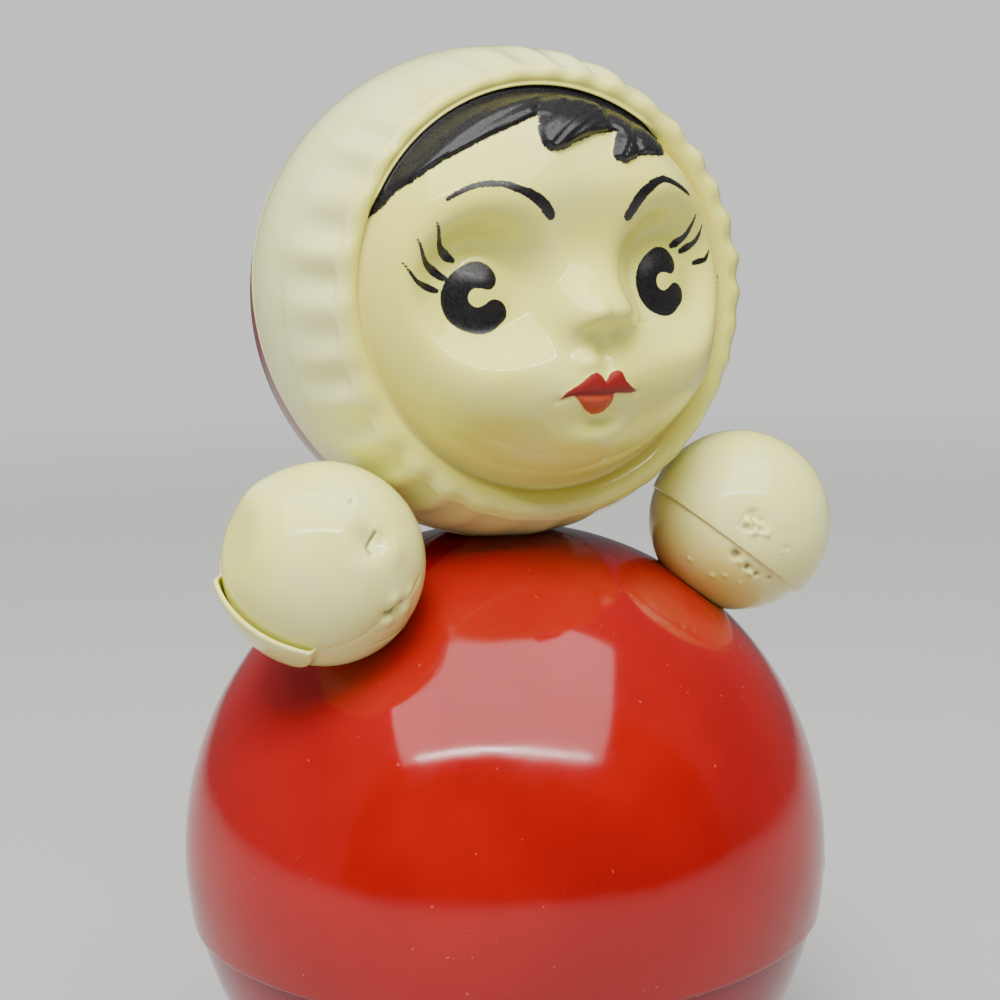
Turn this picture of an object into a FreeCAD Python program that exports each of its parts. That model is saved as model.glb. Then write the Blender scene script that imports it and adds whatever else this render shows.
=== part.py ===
"""Roly-poly doll: two-shell ball body, hooded head, two ball hands, ballast and chime inside.

Millimetres. Origin at the centre of the foot, +Z up, the face looks along -Y.
The doll's left hand is on +X and its right hand on -X.
"""
import FreeCAD, Part
import math
import os

import Sketcher
from FreeCAD import Placement, Rotation, Vector

SIZES = (
    ("wall", 0.9, "wall of the body and head shells"),
    ("body_radius", 58.0, "outside radius of the upper body shell"),
    ("body_centre_z", 56.96, "height of the body ball's centre"),
    ("seam_drop", 9.84, "body seam below the ball's centre"),
    ("body_lap", 5.0, "how far the lower shell reaches up inside the upper one"),
    ("foot_cut_radius", 8.0, "radius of the tool that flattens the foot"),
    ("neck_radius", 6.3, "outside radius of the neck tube"),
    ("neck_wall", 1.2, "wall of the neck tube"),
    ("neck_bottom_z", 109.0, "lower end of the neck tube"),
    ("neck_top_z", 119.0, "upper end of the neck tube"),
    ("head_y", 0.9, "head centre, behind the body's axis"),
    ("head_z", 155.9, "height of the head centre"),
    ("head_radius", 42.84, "outside radius of the hood"),
    ("head_seam_offset", 5.9, "seam plane of the head behind the head's centre"),
    ("head_seam_tilt", 17.0, "lean of the head's seam plane, in degrees"),
    ("head_lap", 4.0, "how far the back shell reaches under the front one"),
    ("rim_radius", 37.4, "hood radius where the rim starts to turn in"),
    ("rim_depth", 22.4, "front of the hood rim, before the head's centre"),
    ("rim_front_radius", 35.4, "radius of the rim's front edge"),
    ("groove_radius", 33.4, "radius of the groove round the face"),
    ("groove_depth", 18.9, "bottom of the groove, before the head's centre"),
    ("face_radius", 37.1, "radius of the face dome"),
    ("face_edge_radius", 32.2, "where the face dome meets the groove"),
    ("nose_radius", 5.0, "radius of the nose"),
    ("nose_depth", 33.2, "nose centre before the head's centre"),
    ("nose_drop", 4.0, "nose centre below the head's centre"),
    ("hand_x", 40.0, "hand centre from the middle plane"),
    ("hand_y", 16.3, "hand centre before the body's axis"),
    ("hand_z", 114.4, "height of the hand centres"),
    ("hand_radius", 16.48, "outside radius of the outer hand shells"),
    ("hand_wall", 0.8, "wall of the hand shells"),
    ("hand_seam_drop", 3.9, "hand seam from the ball's centre, towards the body"),
    ("hand_lap", 2.0, "how far one hand shell reaches under the other"),
    ("left_seam_azimuth", -18.0, "compass angle of the left hand's seam normal"),
    ("left_seam_rise", 52.0, "rise of the left hand's seam normal"),
    ("right_seam_azimuth", -86.0, "compass angle of the right hand's seam normal"),
    ("right_seam_rise", 55.0, "rise of the right hand's seam normal"),
    ("spigot_radius", 4.2, "outside radius of the spigot under a hand"),
    ("spigot_reach", 3.0, "how far a spigot reaches inside the body shell"),
    ("ballast_gap", 0.2, "glue gap between ballast and lower shell"),
    ("ballast_top_z", 17.0, "top face of the ballast"),
    ("keeper_inner_radius", 36.6, "inside radius of the ballast keeper ring"),
    ("keeper_height", 1.8, "height of the ballast keeper ring"),
    ("spacer_height", 2.0, "gap between ballast and chime plate"),
    ("spacer_radius", 3.0, "outside radius of a spacer"),
    ("plate_radius", 36.0, "radius of the chime plate"),
    ("plate_thickness", 1.5, "thickness of the chime plate"),
    ("screw_circle", 31.0, "radius of the circle of plate screws"),
    ("screw_radius", 1.5, "shank radius of a plate screw"),
    ("screw_depth", 4.0, "screw engagement in the ballast"),
    ("screw_head_radius", 2.8, "radius of a screw head"),
    ("screw_head_height", 1.6, "height of a screw head"),
    ("fastener_gap", 0.05, "radial clearance round screws and rivets"),
    ("rod_radius", 1.0, "radius of a chime rod"),
    ("rod_pitch", 19.0, "side of the square ring of chime rods, from the middle"),
    ("rod_first_length", 20.0, "length of the shortest chime rod"),
    ("rod_length_step", 2.0, "length from one chime rod to the next"),
    ("bridge_width", 8.0, "width of the bridge strip"),
    ("bridge_thickness", 1.0, "thickness of the bridge strip"),
    ("bridge_half_span", 27.0, "inside half span of the bridge"),
    ("bridge_spring_z", 59.0, "height where the bridge's arch starts"),
    ("bridge_foot_end", 35.0, "outer end of a bridge foot"),
    ("rivet_x", 31.5, "rivet centres from the middle"),
    ("rivet_radius", 1.25, "shank radius of a rivet"),
    ("rivet_head_radius", 2.3, "radius of a rivet head"),
    ("rivet_head_height", 1.0, "height of a rivet head"),
    ("lug_half_width", 3.0, "half width of the bridge's lug"),
    ("lug_thickness", 1.2, "thickness of the bridge's lug"),
    ("lug_drop", 3.0, "lug below the link's pivot"),
    ("pivot_z", 80.0, "height of the link's pivot"),
    ("hook_z", 72.0, "height of the striker's pivot"),
    ("wire_radius", 0.7, "radius of the link and striker wire"),
    ("running_gap", 0.05, "radial clearance of the two pivots"),
    ("eye_radius", 2.2, "outside radius of the link's eye"),
    ("eye_width", 1.6, "width of the link's eye"),
    ("link_half_width", 3.0, "half width of the link's loop"),
    ("hook_half_width", 3.2, "half width of the striker's loop"),
    ("hook_drop", 5.0, "height of the striker's loop"),
    ("striker_z", 36.0, "height of the striker ball's centre"),
    ("striker_radius", 7.0, "radius of the striker ball"),
    ("wire_seat", 3.5, "how far the wire enters the striker ball"),
)
ROD_SPOTS = ((1, 0), (1, 1), (0, 1), (-1, 1), (-1, 0), (-1, -1), (0, -1), (1, -1))
SCREW_COUNT = 3
SCREW_START = 90.0
BACK = Vector(0, 1, 0)
FRONT = Vector(0, -1, 0)
UP = Vector(0, 0, 1)
DOWN = Vector(0, 0, -1)

doc = FreeCAD.newDocument("roly_poly_doll")
sheet = doc.addObject("Spreadsheet::Sheet", "Sizes")
for row, (alias, number, meaning) in enumerate(SIZES, start=1):
    sheet.set(f"A{row}", meaning)
    sheet.set(f"B{row}", str(number))
    sheet.setAlias(f"B{row}", alias)
doc.recompute()


class Dim:
    """A length with its present value and the sheet expression that gives it."""

    def __init__(self, value, text):
        self.value = value
        self.text = text

    def __add__(self, other):
        other = dim(other)
        return Dim(self.value + other.value, f"({self.text} + {other.text})")

    def __sub__(self, other):
        other = dim(other)
        return Dim(self.value - other.value, f"({self.text} - {other.text})")

    def __mul__(self, other):
        other = dim(other)
        return Dim(self.value * other.value, f"({self.text} * {other.text})")

    def __neg__(self):
        return Dim(-self.value, f"(0 - {self.text})")


def dim(thing):
    """A Dim from an alias of the sheet, a plain number or another Dim."""
    if isinstance(thing, Dim):
        return thing
    if isinstance(thing, str):
        return Dim(float(sheet.get(thing)), f"Sizes.{thing}")
    return Dim(float(thing), f"({thing})")


def other_leg(hypotenuse, leg):
    """The other leg of a right triangle."""
    total = dim(hypotenuse) * hypotenuse - dim(leg) * leg
    return Dim(math.sqrt(total.value), f"sqrt({total.text})")


def bind(target, prop, size):
    target.setExpression(prop, dim(size).text)


def place(target, x, y, z, rotation=Rotation()):
    """Put an object at a point whose coordinates follow the sheet."""
    spot = [dim(x), dim(y), dim(z)]
    target.Placement = Placement(Vector(*[size.value for size in spot]), rotation)
    for letter, size in zip("xyz", spot):
        bind(target, f"Placement.Base.{letter}", size)
    return target


def turn_to(direction):
    """The rotation that takes +Z to a direction."""
    return Rotation(UP, direction)


# ---------------------------------------------------------------- PartDesign helpers


def new_body(label):
    body = doc.addObject("PartDesign::Body", f"{label}_body")
    body.Label = label
    return body


def new_sketch(body, name, role):
    """An empty sketch on one of the body's own origin planes."""
    sketch = body.newObject("Sketcher::SketchObject", name)
    plane = next(item for item in body.Origin.OriginFeatures if item.Role == role)
    sketch.AttachmentSupport = [(plane, "")]
    sketch.MapMode = "FlatFace"
    return sketch


def pin_point(sketch, edge, end, across, upward):
    """Fix an edge's end at a distance across and upward from the sketch's origin."""
    for kind, size, axis in (("DistanceX", across, -2), ("DistanceY", upward, -1)):
        if abs(size.value) < 1e-9:
            sketch.addConstraint(Sketcher.Constraint("PointOnObject", edge, end, axis))
            continue
        ends = (-1, 1, edge, end) if size.value > 0 else (edge, end, -1, 1)
        length = size if size.value > 0 else -size
        index = sketch.addConstraint(Sketcher.Constraint(kind, *ends, length.value))
        bind(sketch, f"Constraints[{index}]", length)


def arc_between(start, end, radius, left):
    """A circular arc between two points, with its centre left or right of the chord."""
    chord = end - start
    middle = (start + end) * 0.5
    side = Vector(-chord.y, chord.x, 0).normalize()
    offset = math.sqrt(max(radius * radius - chord.Length ** 2 / 4, 0.0))
    centre = middle + side * (offset if left else -offset)
    angle = [math.atan2(point.y - centre.y, point.x - centre.x) for point in (start, end)]
    first, last = angle if left else reversed(angle)
    return Part.ArcOfCircle(Part.Circle(centre, UP, radius), first, last)


def outline(body, name, role, corners, arcs=None):
    """A closed sketch through corners; arcs maps a side's number to (radius, centre on left).

    A half circle has its centre level with its ends, and its radius follows from them.
    """
    arcs = arcs or {}
    sketch = new_sketch(body, name, role)
    corners = [(dim(across), dim(upward)) for across, upward in corners]
    points = [Vector(across.value, upward.value, 0) for across, upward in corners]
    count = len(points)
    for side in range(count):
        start, end = points[side], points[(side + 1) % count]
        if side in arcs:
            radius, left = dim(arcs[side][0]), arcs[side][1]
            sketch.addGeometry(arc_between(start, end, radius.value, left), False)
        else:
            sketch.addGeometry(Part.LineSegment(start, end), False)
    first_end = [2 if side in arcs and not arcs[side][1] else 1 for side in range(count)]
    for side in range(count):
        after = (side + 1) % count
        sketch.addConstraint(
            Sketcher.Constraint("Coincident", side, 3 - first_end[side], after, first_end[after]))
        pin_point(sketch, side, first_end[side], *corners[side])
    for side, (radius, left) in arcs.items():
        chord = (points[(side + 1) % count] - points[side]).Length
        if abs(chord - 2 * dim(radius).value) < 1e-6:
            sketch.addConstraint(Sketcher.Constraint("Horizontal", side, 3, side, 1))
            continue
        index = sketch.addConstraint(Sketcher.Constraint("Radius", side, dim(radius).value))
        bind(sketch, f"Constraints[{index}]", radius)
    return sketch


def disc(body, name, radius, across=0, upward=0, role="XY_Plane"):
    """A sketch of one circle."""
    sketch = new_sketch(body, name, role)
    across, upward, radius = dim(across), dim(upward), dim(radius)
    centre = Vector(across.value, upward.value, 0)
    sketch.addGeometry(Part.Circle(centre, UP, radius.value), False)
    pin_point(sketch, 0, 3, across, upward)
    index = sketch.addConstraint(Sketcher.Constraint("Radius", 0, radius.value))
    bind(sketch, f"Constraints[{index}]", radius)
    return sketch


def revolve(body, sketch):
    feature = body.newObject("PartDesign::Revolution", f"{sketch.Name}_turned")
    feature.Profile = sketch
    feature.ReferenceAxis = (sketch, ["V_Axis"])
    feature.Angle = 360.0
    sketch.Visibility = False
    return feature


def pad(body, sketch, length, midplane=False):
    feature = body.newObject("PartDesign::Pad", f"{sketch.Name}_pad")
    feature.Profile = sketch
    feature.Midplane = midplane
    bind(feature, "Length", length)
    return feature


def cut_upward(body, sketch):
    """Cut everything above a sketch, inside its outline."""
    feature = body.newObject("PartDesign::Pocket", f"{sketch.Name}_cut")
    feature.Profile = sketch
    feature.Type = "ThroughAll"
    feature.Reversed = True
    return feature


def repeat_round(body, feature, count):
    """Repeat a feature evenly round the body's own Z axis."""
    axis = next(item for item in body.Origin.OriginFeatures if item.Role == "Z_Axis")
    pattern = body.newObject("PartDesign::PolarPattern", f"{feature.Name}_ring")
    pattern.Originals = [feature]
    pattern.Axis = (axis, [""])
    pattern.Angle = 360.0
    pattern.Occurrences = count
    body.Tip = pattern
    return pattern


# ---------------------------------------------------------------- Part helpers


def cylinder(name, radius, length, x, y, z, direction=UP):
    item = doc.addObject("Part::Cylinder", name)
    bind(item, "Radius", radius)
    bind(item, "Height", length)
    return place(item, x, y, z, turn_to(direction))


def sphere(name, radius, x, y, z):
    item = doc.addObject("Part::Sphere", name)
    bind(item, "Radius", radius)
    return place(item, x, y, z)


def subtract(label, base, tool):
    item = doc.addObject("Part::Cut", f"{label}_cut")
    item.Base = base
    item.Tool = tool
    item.Label = label
    return item


def join(label, pieces):
    item = doc.addObject("Part::MultiFuse", f"{label}_fuse")
    item.Shapes = pieces
    item.Label = label
    return item


def overlap(label, pieces):
    item = doc.addObject("Part::MultiCommon", f"{label}_common")
    item.Shapes = pieces
    item.Label = label
    return item


def group(label, pieces):
    """Several separate solids in one node."""
    item = doc.addObject("Part::Compound", f"{label}_group")
    item.Links = pieces
    item.Label = label
    return item


# ---------------------------------------------------------------- shells


def ball_shell(label, outer, wall, low):
    """A spherical shell round the local origin, from a height up to its pole on +Z."""
    body = new_body(label)
    outer, low = dim(outer), dim(low)
    inner = outer - wall
    corners = [(other_leg(outer, low), low), (0, outer), (0, inner), (other_leg(inner, low), low)]
    sketch = outline(body, f"{label}_section", "XZ_Plane", corners,
                     {0: (outer, True), 2: (inner, False)})
    revolve(body, sketch)
    return body


def hand_direction(side):
    """Unit vector from the body's centre to a hand; side is 1 on +X and -1 on -X."""
    height = (dim("hand_z") - "body_centre_z").value
    return Vector(side * dim("hand_x").value, -dim("hand_y").value, height).normalize()


def hand_distance():
    """Distance from the body's centre to a hand's centre."""
    height = dim("hand_z") - "body_centre_z"
    total = dim("hand_x") * "hand_x" + dim("hand_y") * "hand_y" + height * height
    return Dim(math.sqrt(total.value), f"sqrt({total.text})")


def aim_sketch(sketch, direction):
    """Turn a sketch about its body's origin so that it faces a direction."""
    sketch.AttachmentOffset = Placement(Vector(), turn_to(direction))


def body_upper_shell():
    body = ball_shell("body_upper_shell", "body_radius", "wall", -dim("seam_drop"))
    cut_upward(body, disc(body, "neck_hole", dim("neck_radius") + "fastener_gap"))
    for name, side in (("left_hand_hole", 1), ("right_hand_hole", -1)):
        hole = disc(body, name, dim("spigot_radius") + "fastener_gap")
        aim_sketch(hole, hand_direction(side))
        cut_upward(body, hole)
    return place(body, 0, 0, "body_centre_z")


def body_lower_shell():
    """Turned upside down, because the shell section has its pole on +Z."""
    reach = dim("seam_drop") - "body_lap"
    body = ball_shell("body_lower_shell", dim("body_radius") - "wall", "wall", reach)
    foot = disc(body, "foot_flat", "foot_cut_radius")
    bind(foot, "AttachmentOffset.Base.z", "body_centre_z")
    cut_upward(body, foot)
    return place(body, 0, 0, "body_centre_z", turn_to(DOWN))


def neck_tube():
    length = dim("neck_top_z") - "neck_bottom_z"
    outside = cylinder("neck_outside", "neck_radius", length, 0, 0, "neck_bottom_z")
    bore = cylinder("neck_bore", dim("neck_radius") - "neck_wall", length, 0, 0, "neck_bottom_z")
    return subtract("neck_tube", outside, bore)


def body_ball(name, radius="body_radius"):
    return sphere(name, radius, 0, 0, "body_centre_z")


def neck_seat(name):
    """What the neck leaves out of the head: the body's ball and the neck tube."""
    length = dim("neck_top_z") - "neck_bottom_z"
    hole = cylinder(f"{name}_hole", dim("neck_radius") + "fastener_gap", length, 0, 0, "neck_bottom_z")
    return join(name, [body_ball(f"{name}_ball"), hole])


def seam_direction():
    """Normal of the head's seam plane, which leans forward at the bottom."""
    tilt = math.radians(dim("head_seam_tilt").value)
    return Vector(0, math.cos(tilt), -math.sin(tilt))


def nose():
    """A small ball standing out of the face dome, cut off in the middle of the face's wall."""
    ball = sphere("nose_ball", "nose_radius", 0, dim("head_y") - "nose_depth",
                  dim("head_z") - "nose_drop")
    inside = sphere("nose_inside", dim("face_radius") - dim("wall") * 0.5, 0, "head_y", "head_z")
    return subtract("nose", ball, inside)


def head_front_shell():
    """Hood, rim, groove and face dome in one wall; the local +Z looks out of the face."""
    body = new_body("head_front_blank")
    hood, face = dim("head_radius"), dim("face_radius")
    hood_in, face_in = hood - "wall", face - "wall"
    rim_in = dim("rim_radius") - 0.2
    face_in_edge = dim("face_edge_radius") - 1.0
    corners = [
        (0, -hood),
        ("rim_radius", other_leg(hood, "rim_radius")),
        ("rim_front_radius", "rim_depth"),
        (dim("groove_radius") + 0.5, dim("rim_depth") - 0.9),
        ("groove_radius", "groove_depth"),
        ("face_edge_radius", other_leg(face, "face_edge_radius")),
        (0, face),
        (0, face_in),
        (face_in_edge, other_leg(face_in, face_in_edge)),
        (dim("groove_radius") + 0.4, dim("groove_depth") - 1.5),
        (rim_in, other_leg(hood_in, rim_in)),
        (0, -hood_in),
    ]
    arcs = {0: (hood, True), 5: (face, True), 7: (face_in, False), 10: (hood_in, False)}
    revolve(body, outline(body, "head_front_section", "XZ_Plane", corners, arcs))
    rear = disc(body, "head_seam", hood * 2)
    local_seam = turn_to(FRONT).inverted().multVec(seam_direction())
    rear.AttachmentOffset = Placement(local_seam * dim("head_seam_offset").value, turn_to(local_seam))
    cut_upward(body, rear)
    place(body, 0, "head_y", "head_z", turn_to(FRONT))
    seated = subtract("head_front_seated", body, neck_seat("front_seat"))
    return join("head_front_shell", [seated, nose()])


def head_back_shell():
    low = dim("head_seam_offset") - "head_lap"
    body = ball_shell("head_back_blank", dim("head_radius") - "wall", "wall", low)
    place(body, 0, "head_y", "head_z", turn_to(seam_direction()))
    return subtract("head_back_shell", body, neck_seat("back_seat"))


def hand_normal(name):
    """Normal of a hand's seam, pointing away from the body."""
    azimuth = math.radians(dim(f"{name}_seam_azimuth").value)
    rise = math.radians(dim(f"{name}_seam_rise").value)
    level = math.cos(rise)
    return Vector(level * math.cos(azimuth), level * math.sin(azimuth), math.sin(rise))


def place_hand(item, side, rotation=Rotation()):
    return place(item, dim("hand_x") * side, -dim("hand_y"), "hand_z", rotation)


def hand_outer_shell(name, side, lap):
    body = ball_shell(f"{name}_hand_outer_shell", "hand_radius", "hand_wall",
                      -(dim("hand_seam_drop") + lap))
    return place_hand(body, side, turn_to(hand_normal(name)))


def hand_spigot(name, side):
    """The tube moulded under a hand, which enters the hole in the body."""
    start = dim("body_radius") - "wall" - "spigot_reach"
    length = dim("wall") * 2 + "spigot_reach"
    direction = hand_direction(side)
    spot = [dim(component) * start for component in direction]
    spot[2] = spot[2] + "body_centre_z"
    tube = cylinder(f"{name}_spigot_outside", "spigot_radius", length, *spot, direction)
    bore = cylinder(f"{name}_spigot_bore", dim("spigot_radius") - "hand_wall", length, *spot, direction)
    return subtract(f"{name}_spigot", tube, bore)


def hand_inner_shell(name, side, radius, low):
    """Half a ball with a dished floor that sits on the body, and a spigot under it."""
    blank = ball_shell(f"{name}_hand_blank", radius, "hand_wall", low)
    place_hand(blank, side, turn_to(-hand_normal(name)))
    seated = subtract(f"{name}_hand_seated", blank, body_ball(f"{name}_seat"))
    inside = place_hand(sphere(f"{name}_inside", dim(radius) - dim("hand_wall") * 0.5, 0, 0, 0), side)
    layer = subtract(f"{name}_floor_layer",
                     body_ball(f"{name}_floor_top", dim("body_radius") + "hand_wall"),
                     body_ball(f"{name}_floor_bottom"))
    floor = overlap(f"{name}_floor", [inside, layer])
    return join(f"{name}_hand_inner_shell", [seated, floor, hand_spigot(name, side)])


# ---------------------------------------------------------------- ballast and chime


def plate_bottom():
    return dim("ballast_top_z") + "spacer_height"


def plate_top():
    return plate_bottom() + "plate_thickness"


def screw_spots():
    """Directions of the plate screws, as unit vectors."""
    angles = [math.radians(SCREW_START + 360.0 * turn / SCREW_COUNT) for turn in range(SCREW_COUNT)]
    return [Vector(math.cos(angle), math.sin(angle), 0) for angle in angles]


def screw_bores(body, prefix, z):
    """Cut the ring of screw holes through everything above a height."""
    hole = disc(body, f"{prefix}_screw_hole", dim("screw_radius") + "fastener_gap",
                0, "screw_circle")
    bind(hole, "AttachmentOffset.Base.z", z)
    return repeat_round(body, cut_upward(body, hole), SCREW_COUNT)


def ballast_weight():
    """A solid cap of a ball, in a frame with the ball's centre at the origin."""
    body = new_body("ballast_weight")
    radius = dim("body_radius") - dim("wall") * 2 - "ballast_gap"
    top = dim("body_centre_z") - "ballast_top_z"
    corners = [(0, -radius), (other_leg(radius, top), -top), (0, -top)]
    revolve(body, outline(body, "ballast_section", "XZ_Plane", corners, {0: (radius, True)}))
    screw_bores(body, "ballast", -(top + "screw_depth" + 1.0))
    return place(body, 0, 0, "body_centre_z")


def ballast_keeper_ring():
    """A ring glued to the lower shell just above the ballast's edge."""
    body = new_body("ballast_keeper_ring")
    radius = dim("body_radius") - dim("wall") * 2
    low = dim("body_centre_z") - "ballast_top_z"
    high = low - "keeper_height"
    inner = "keeper_inner_radius"
    corners = [(inner, -low), (other_leg(radius, low), -low), (other_leg(radius, high), -high),
               (inner, -high)]
    revolve(body, outline(body, "keeper_section", "XZ_Plane", corners, {1: (radius, True)}))
    return place(body, 0, 0, "body_centre_z")


def base_spacers():
    pieces = []
    for number, spot in enumerate(screw_spots(), start=1):
        centre = (dim("screw_circle") * spot.x, dim("screw_circle") * spot.y, "ballast_top_z")
        outside = cylinder(f"spacer_{number}_outside", "spacer_radius", "spacer_height", *centre)
        bore = cylinder(f"spacer_{number}_bore", dim("screw_radius") + "fastener_gap",
                        "spacer_height", *centre)
        pieces.append(subtract(f"spacer_{number}", outside, bore))
    return group("base_spacers", pieces)


def slotted_screw(number, spot):
    x, y = dim("screw_circle") * spot.x, dim("screw_circle") * spot.y
    start = dim("ballast_top_z") - "screw_depth"
    shank = cylinder(f"screw_{number}_shank", "screw_radius", plate_top() - start, x, y, start)
    head = cylinder(f"screw_{number}_head", "screw_head_radius", "screw_head_height", x, y, plate_top())
    slot = doc.addObject("Part::Box", f"screw_{number}_slot")
    bind(slot, "Length", dim("screw_head_radius") * 2.2)
    bind(slot, "Width", dim("screw_radius") * 0.5)
    bind(slot, "Height", "screw_head_height")
    place(slot, x - dim("screw_head_radius") * 1.1, y - dim("screw_radius") * 0.25, plate_top() + 0.9)
    return subtract(f"screw_{number}", join(f"screw_{number}_blank", [shank, head]), slot)


def base_screws():
    return group("base_screws", [slotted_screw(number, spot)
                                 for number, spot in enumerate(screw_spots(), start=1)])


def chime_plate():
    body = new_body("chime_plate")
    pad(body, disc(body, "plate_outline", "plate_radius"), "plate_thickness")
    screw_bores(body, "plate", -1.0)
    for number, (across, along) in enumerate(ROD_SPOTS, start=1):
        cut_upward(body, disc(body, f"rod_hole_{number}", "rod_radius",
                              dim("rod_pitch") * across, dim("rod_pitch") * along))
    for name, side in (("right_rivet_hole", -1), ("left_rivet_hole", 1)):
        cut_upward(body, disc(body, name, dim("rivet_radius") + "fastener_gap", dim("rivet_x") * side, 0))
    return place(body, 0, 0, plate_bottom())


def chime_rod(number, across, along):
    length = dim("rod_first_length") + dim("rod_length_step") * (number - 1)
    x, y = dim("rod_pitch") * across, dim("rod_pitch") * along
    rod = cylinder(f"chime_rod_{number}", "rod_radius", length, x, y, plate_bottom())
    rod.Label = f"chime_rod_{number}"
    return rod


def striker_bridge():
    """A bent strip over the rods, with a lug in the middle that carries the link."""
    body = new_body("striker_bridge")
    inside, foot = dim("bridge_half_span"), dim("bridge_foot_end")
    outside = inside + "bridge_thickness"
    floor = plate_top()
    step, spring = floor + "bridge_thickness", dim("bridge_spring_z")
    corners = [
        (inside, floor), (foot, floor), (foot, step), (outside, step), (outside, spring),
        (-outside, spring), (-outside, step), (-foot, step), (-foot, floor), (-inside, floor),
        (-inside, spring), (inside, spring),
    ]
    arcs = {4: (outside, True), 10: (inside, False)}
    pad(body, outline(body, "bridge_section", "XZ_Plane", corners, arcs), "bridge_width", True)
    for name, side in (("left_foot_hole", 1), ("right_foot_hole", -1)):
        hole = disc(body, name, dim("rivet_radius") + "fastener_gap", dim("rivet_x") * side, 0)
        cut_upward(body, hole)
    top = spring + inside + dim("bridge_thickness") * 0.5
    low, half = dim("pivot_z") - "lug_drop", dim("lug_half_width")
    lug_corners = [(-half, low), (half, low), (half, top), (-half, top)]
    pad(body, outline(body, "lug_section", "XZ_Plane", lug_corners), "lug_thickness", True)
    eye = disc(body, "lug_hole", dim("wire_radius") + "running_gap", 0, "pivot_z", "XZ_Plane")
    bore = body.newObject("PartDesign::Pocket", "lug_hole_cut")
    bore.Profile = eye
    bore.Midplane = True
    bind(bore, "Length", dim("lug_thickness") * 2)
    return body


def bridge_rivets():
    pieces = []
    for name, side in (("left", 1), ("right", -1)):
        x = dim("rivet_x") * side
        low, high = plate_bottom(), plate_top() + "bridge_thickness"
        shank = cylinder(f"{name}_rivet_shank", "rivet_radius", high - low, x, 0, low)
        under = cylinder(f"{name}_rivet_tail", "rivet_head_radius", "rivet_head_height",
                         x, 0, low - "rivet_head_height")
        above = cylinder(f"{name}_rivet_top", "rivet_head_radius", "rivet_head_height", x, 0, high)
        pieces.append(join(f"{name}_rivet", [under, shank, above]))
    return group("bridge_rivets", pieces)


def wire_run(name, start, end):
    """A straight run of wire along one axis, with a round joint at each end."""
    start = [dim(value) for value in start]
    end = [dim(value) for value in end]
    run = [last - first for first, last in zip(start, end)]
    along = next(index for index in range(3) if abs(run[index].value) > 1e-9)
    sign = 1 if run[along].value > 0 else -1
    direction = Vector(*[sign if index == along else 0 for index in range(3)])
    length = run[along] if sign > 0 else -run[along]
    tube = cylinder(f"{name}_run", "wire_radius", length, *start, direction)
    balls = [sphere(f"{name}_end_{number}", "wire_radius", *point)
             for number, point in enumerate((start, end), start=1)]
    return [tube, *balls]


def striker_link():
    """A loop hanging in the lug's hole, with an eye at its lower end for the striker."""
    half, top = dim("link_half_width"), "pivot_z"
    low = dim("hook_z") + "eye_radius"
    pieces = wire_run("link_pin", (0, -half, top), (0, half, top))
    pieces += wire_run("link_front", (0, -half, low), (0, -half, top))[:2]
    pieces += wire_run("link_rear", (0, half, low), (0, half, top))[:2]
    pieces += wire_run("link_foot", (0, -half, low), (0, half, low))[:1]
    start = -(dim("eye_width") * 0.5)
    pieces.append(cylinder("link_eye", "eye_radius", "eye_width", start, 0, "hook_z", Vector(1, 0, 0)))
    bore = cylinder("link_eye_bore", dim("wire_radius") + "running_gap", "eye_width",
                    start, 0, "hook_z", Vector(1, 0, 0))
    return subtract("striker_link", join("link_blank", pieces), bore)


def striker_wire():
    """A closed loop through the link's eye, and the stem down to the ball."""
    half, top = dim("hook_half_width"), dim("hook_z")
    low = top - "hook_drop"
    end = dim("striker_z") + "striker_radius" - "wire_seat"
    pieces = wire_run("hook_pin", (-half, 0, top), (half, 0, top))
    pieces += wire_run("hook_left", (half, 0, low), (half, 0, top))[:2]
    pieces += wire_run("hook_right", (-half, 0, low), (-half, 0, top))[:2]
    pieces += wire_run("hook_foot", (-half, 0, low), (half, 0, low))[:1]
    pieces += wire_run("stem", (0, 0, end), (0, 0, low))[:1]
    return join("striker_wire", pieces)


def striker_ball():
    seat = dim("striker_z") + "striker_radius" - "wire_seat"
    ball = sphere("striker_ball_blank", "striker_radius", 0, 0, "striker_z")
    bore = cylinder("striker_ball_bore", "wire_radius", "wire_seat", 0, 0, seat)
    return subtract("striker_ball", ball, bore)


# ---------------------------------------------------------------- the doll


def build_doll():
    """Every piece of the doll, one object for each."""
    seam = dim("hand_seam_drop")
    pieces = [
        body_upper_shell(), body_lower_shell(), neck_tube(), head_front_shell(), head_back_shell(),
        hand_outer_shell("left", 1, 0),
        hand_inner_shell("left", 1, dim("hand_radius") - "hand_wall", seam - "hand_lap"),
        hand_outer_shell("right", -1, "hand_lap"),
        hand_inner_shell("right", -1, dim("hand_radius") + "hand_wall", seam),
        ballast_weight(), ballast_keeper_ring(), base_spacers(), base_screws(), chime_plate(),
        striker_bridge(), bridge_rivets(), striker_link(), striker_wire(), striker_ball(),
    ]
    pieces += [chime_rod(number, *spot) for number, spot in enumerate(ROD_SPOTS, start=1)]
    return pieces


def check(pieces):
    """Stop if anything failed to compute or a piece isn't a sound solid."""
    for item in doc.Objects:
        if {"Invalid", "Error"} & set(item.State):
            raise RuntimeError(f"{item.Label} failed: {item.State}")
    for piece in pieces:
        shape = piece.Shape
        if shape.isNull() or not shape.isValid() or not shape.Solids:
            raise RuntimeError(f"{piece.Label} is not a sound solid")


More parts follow.
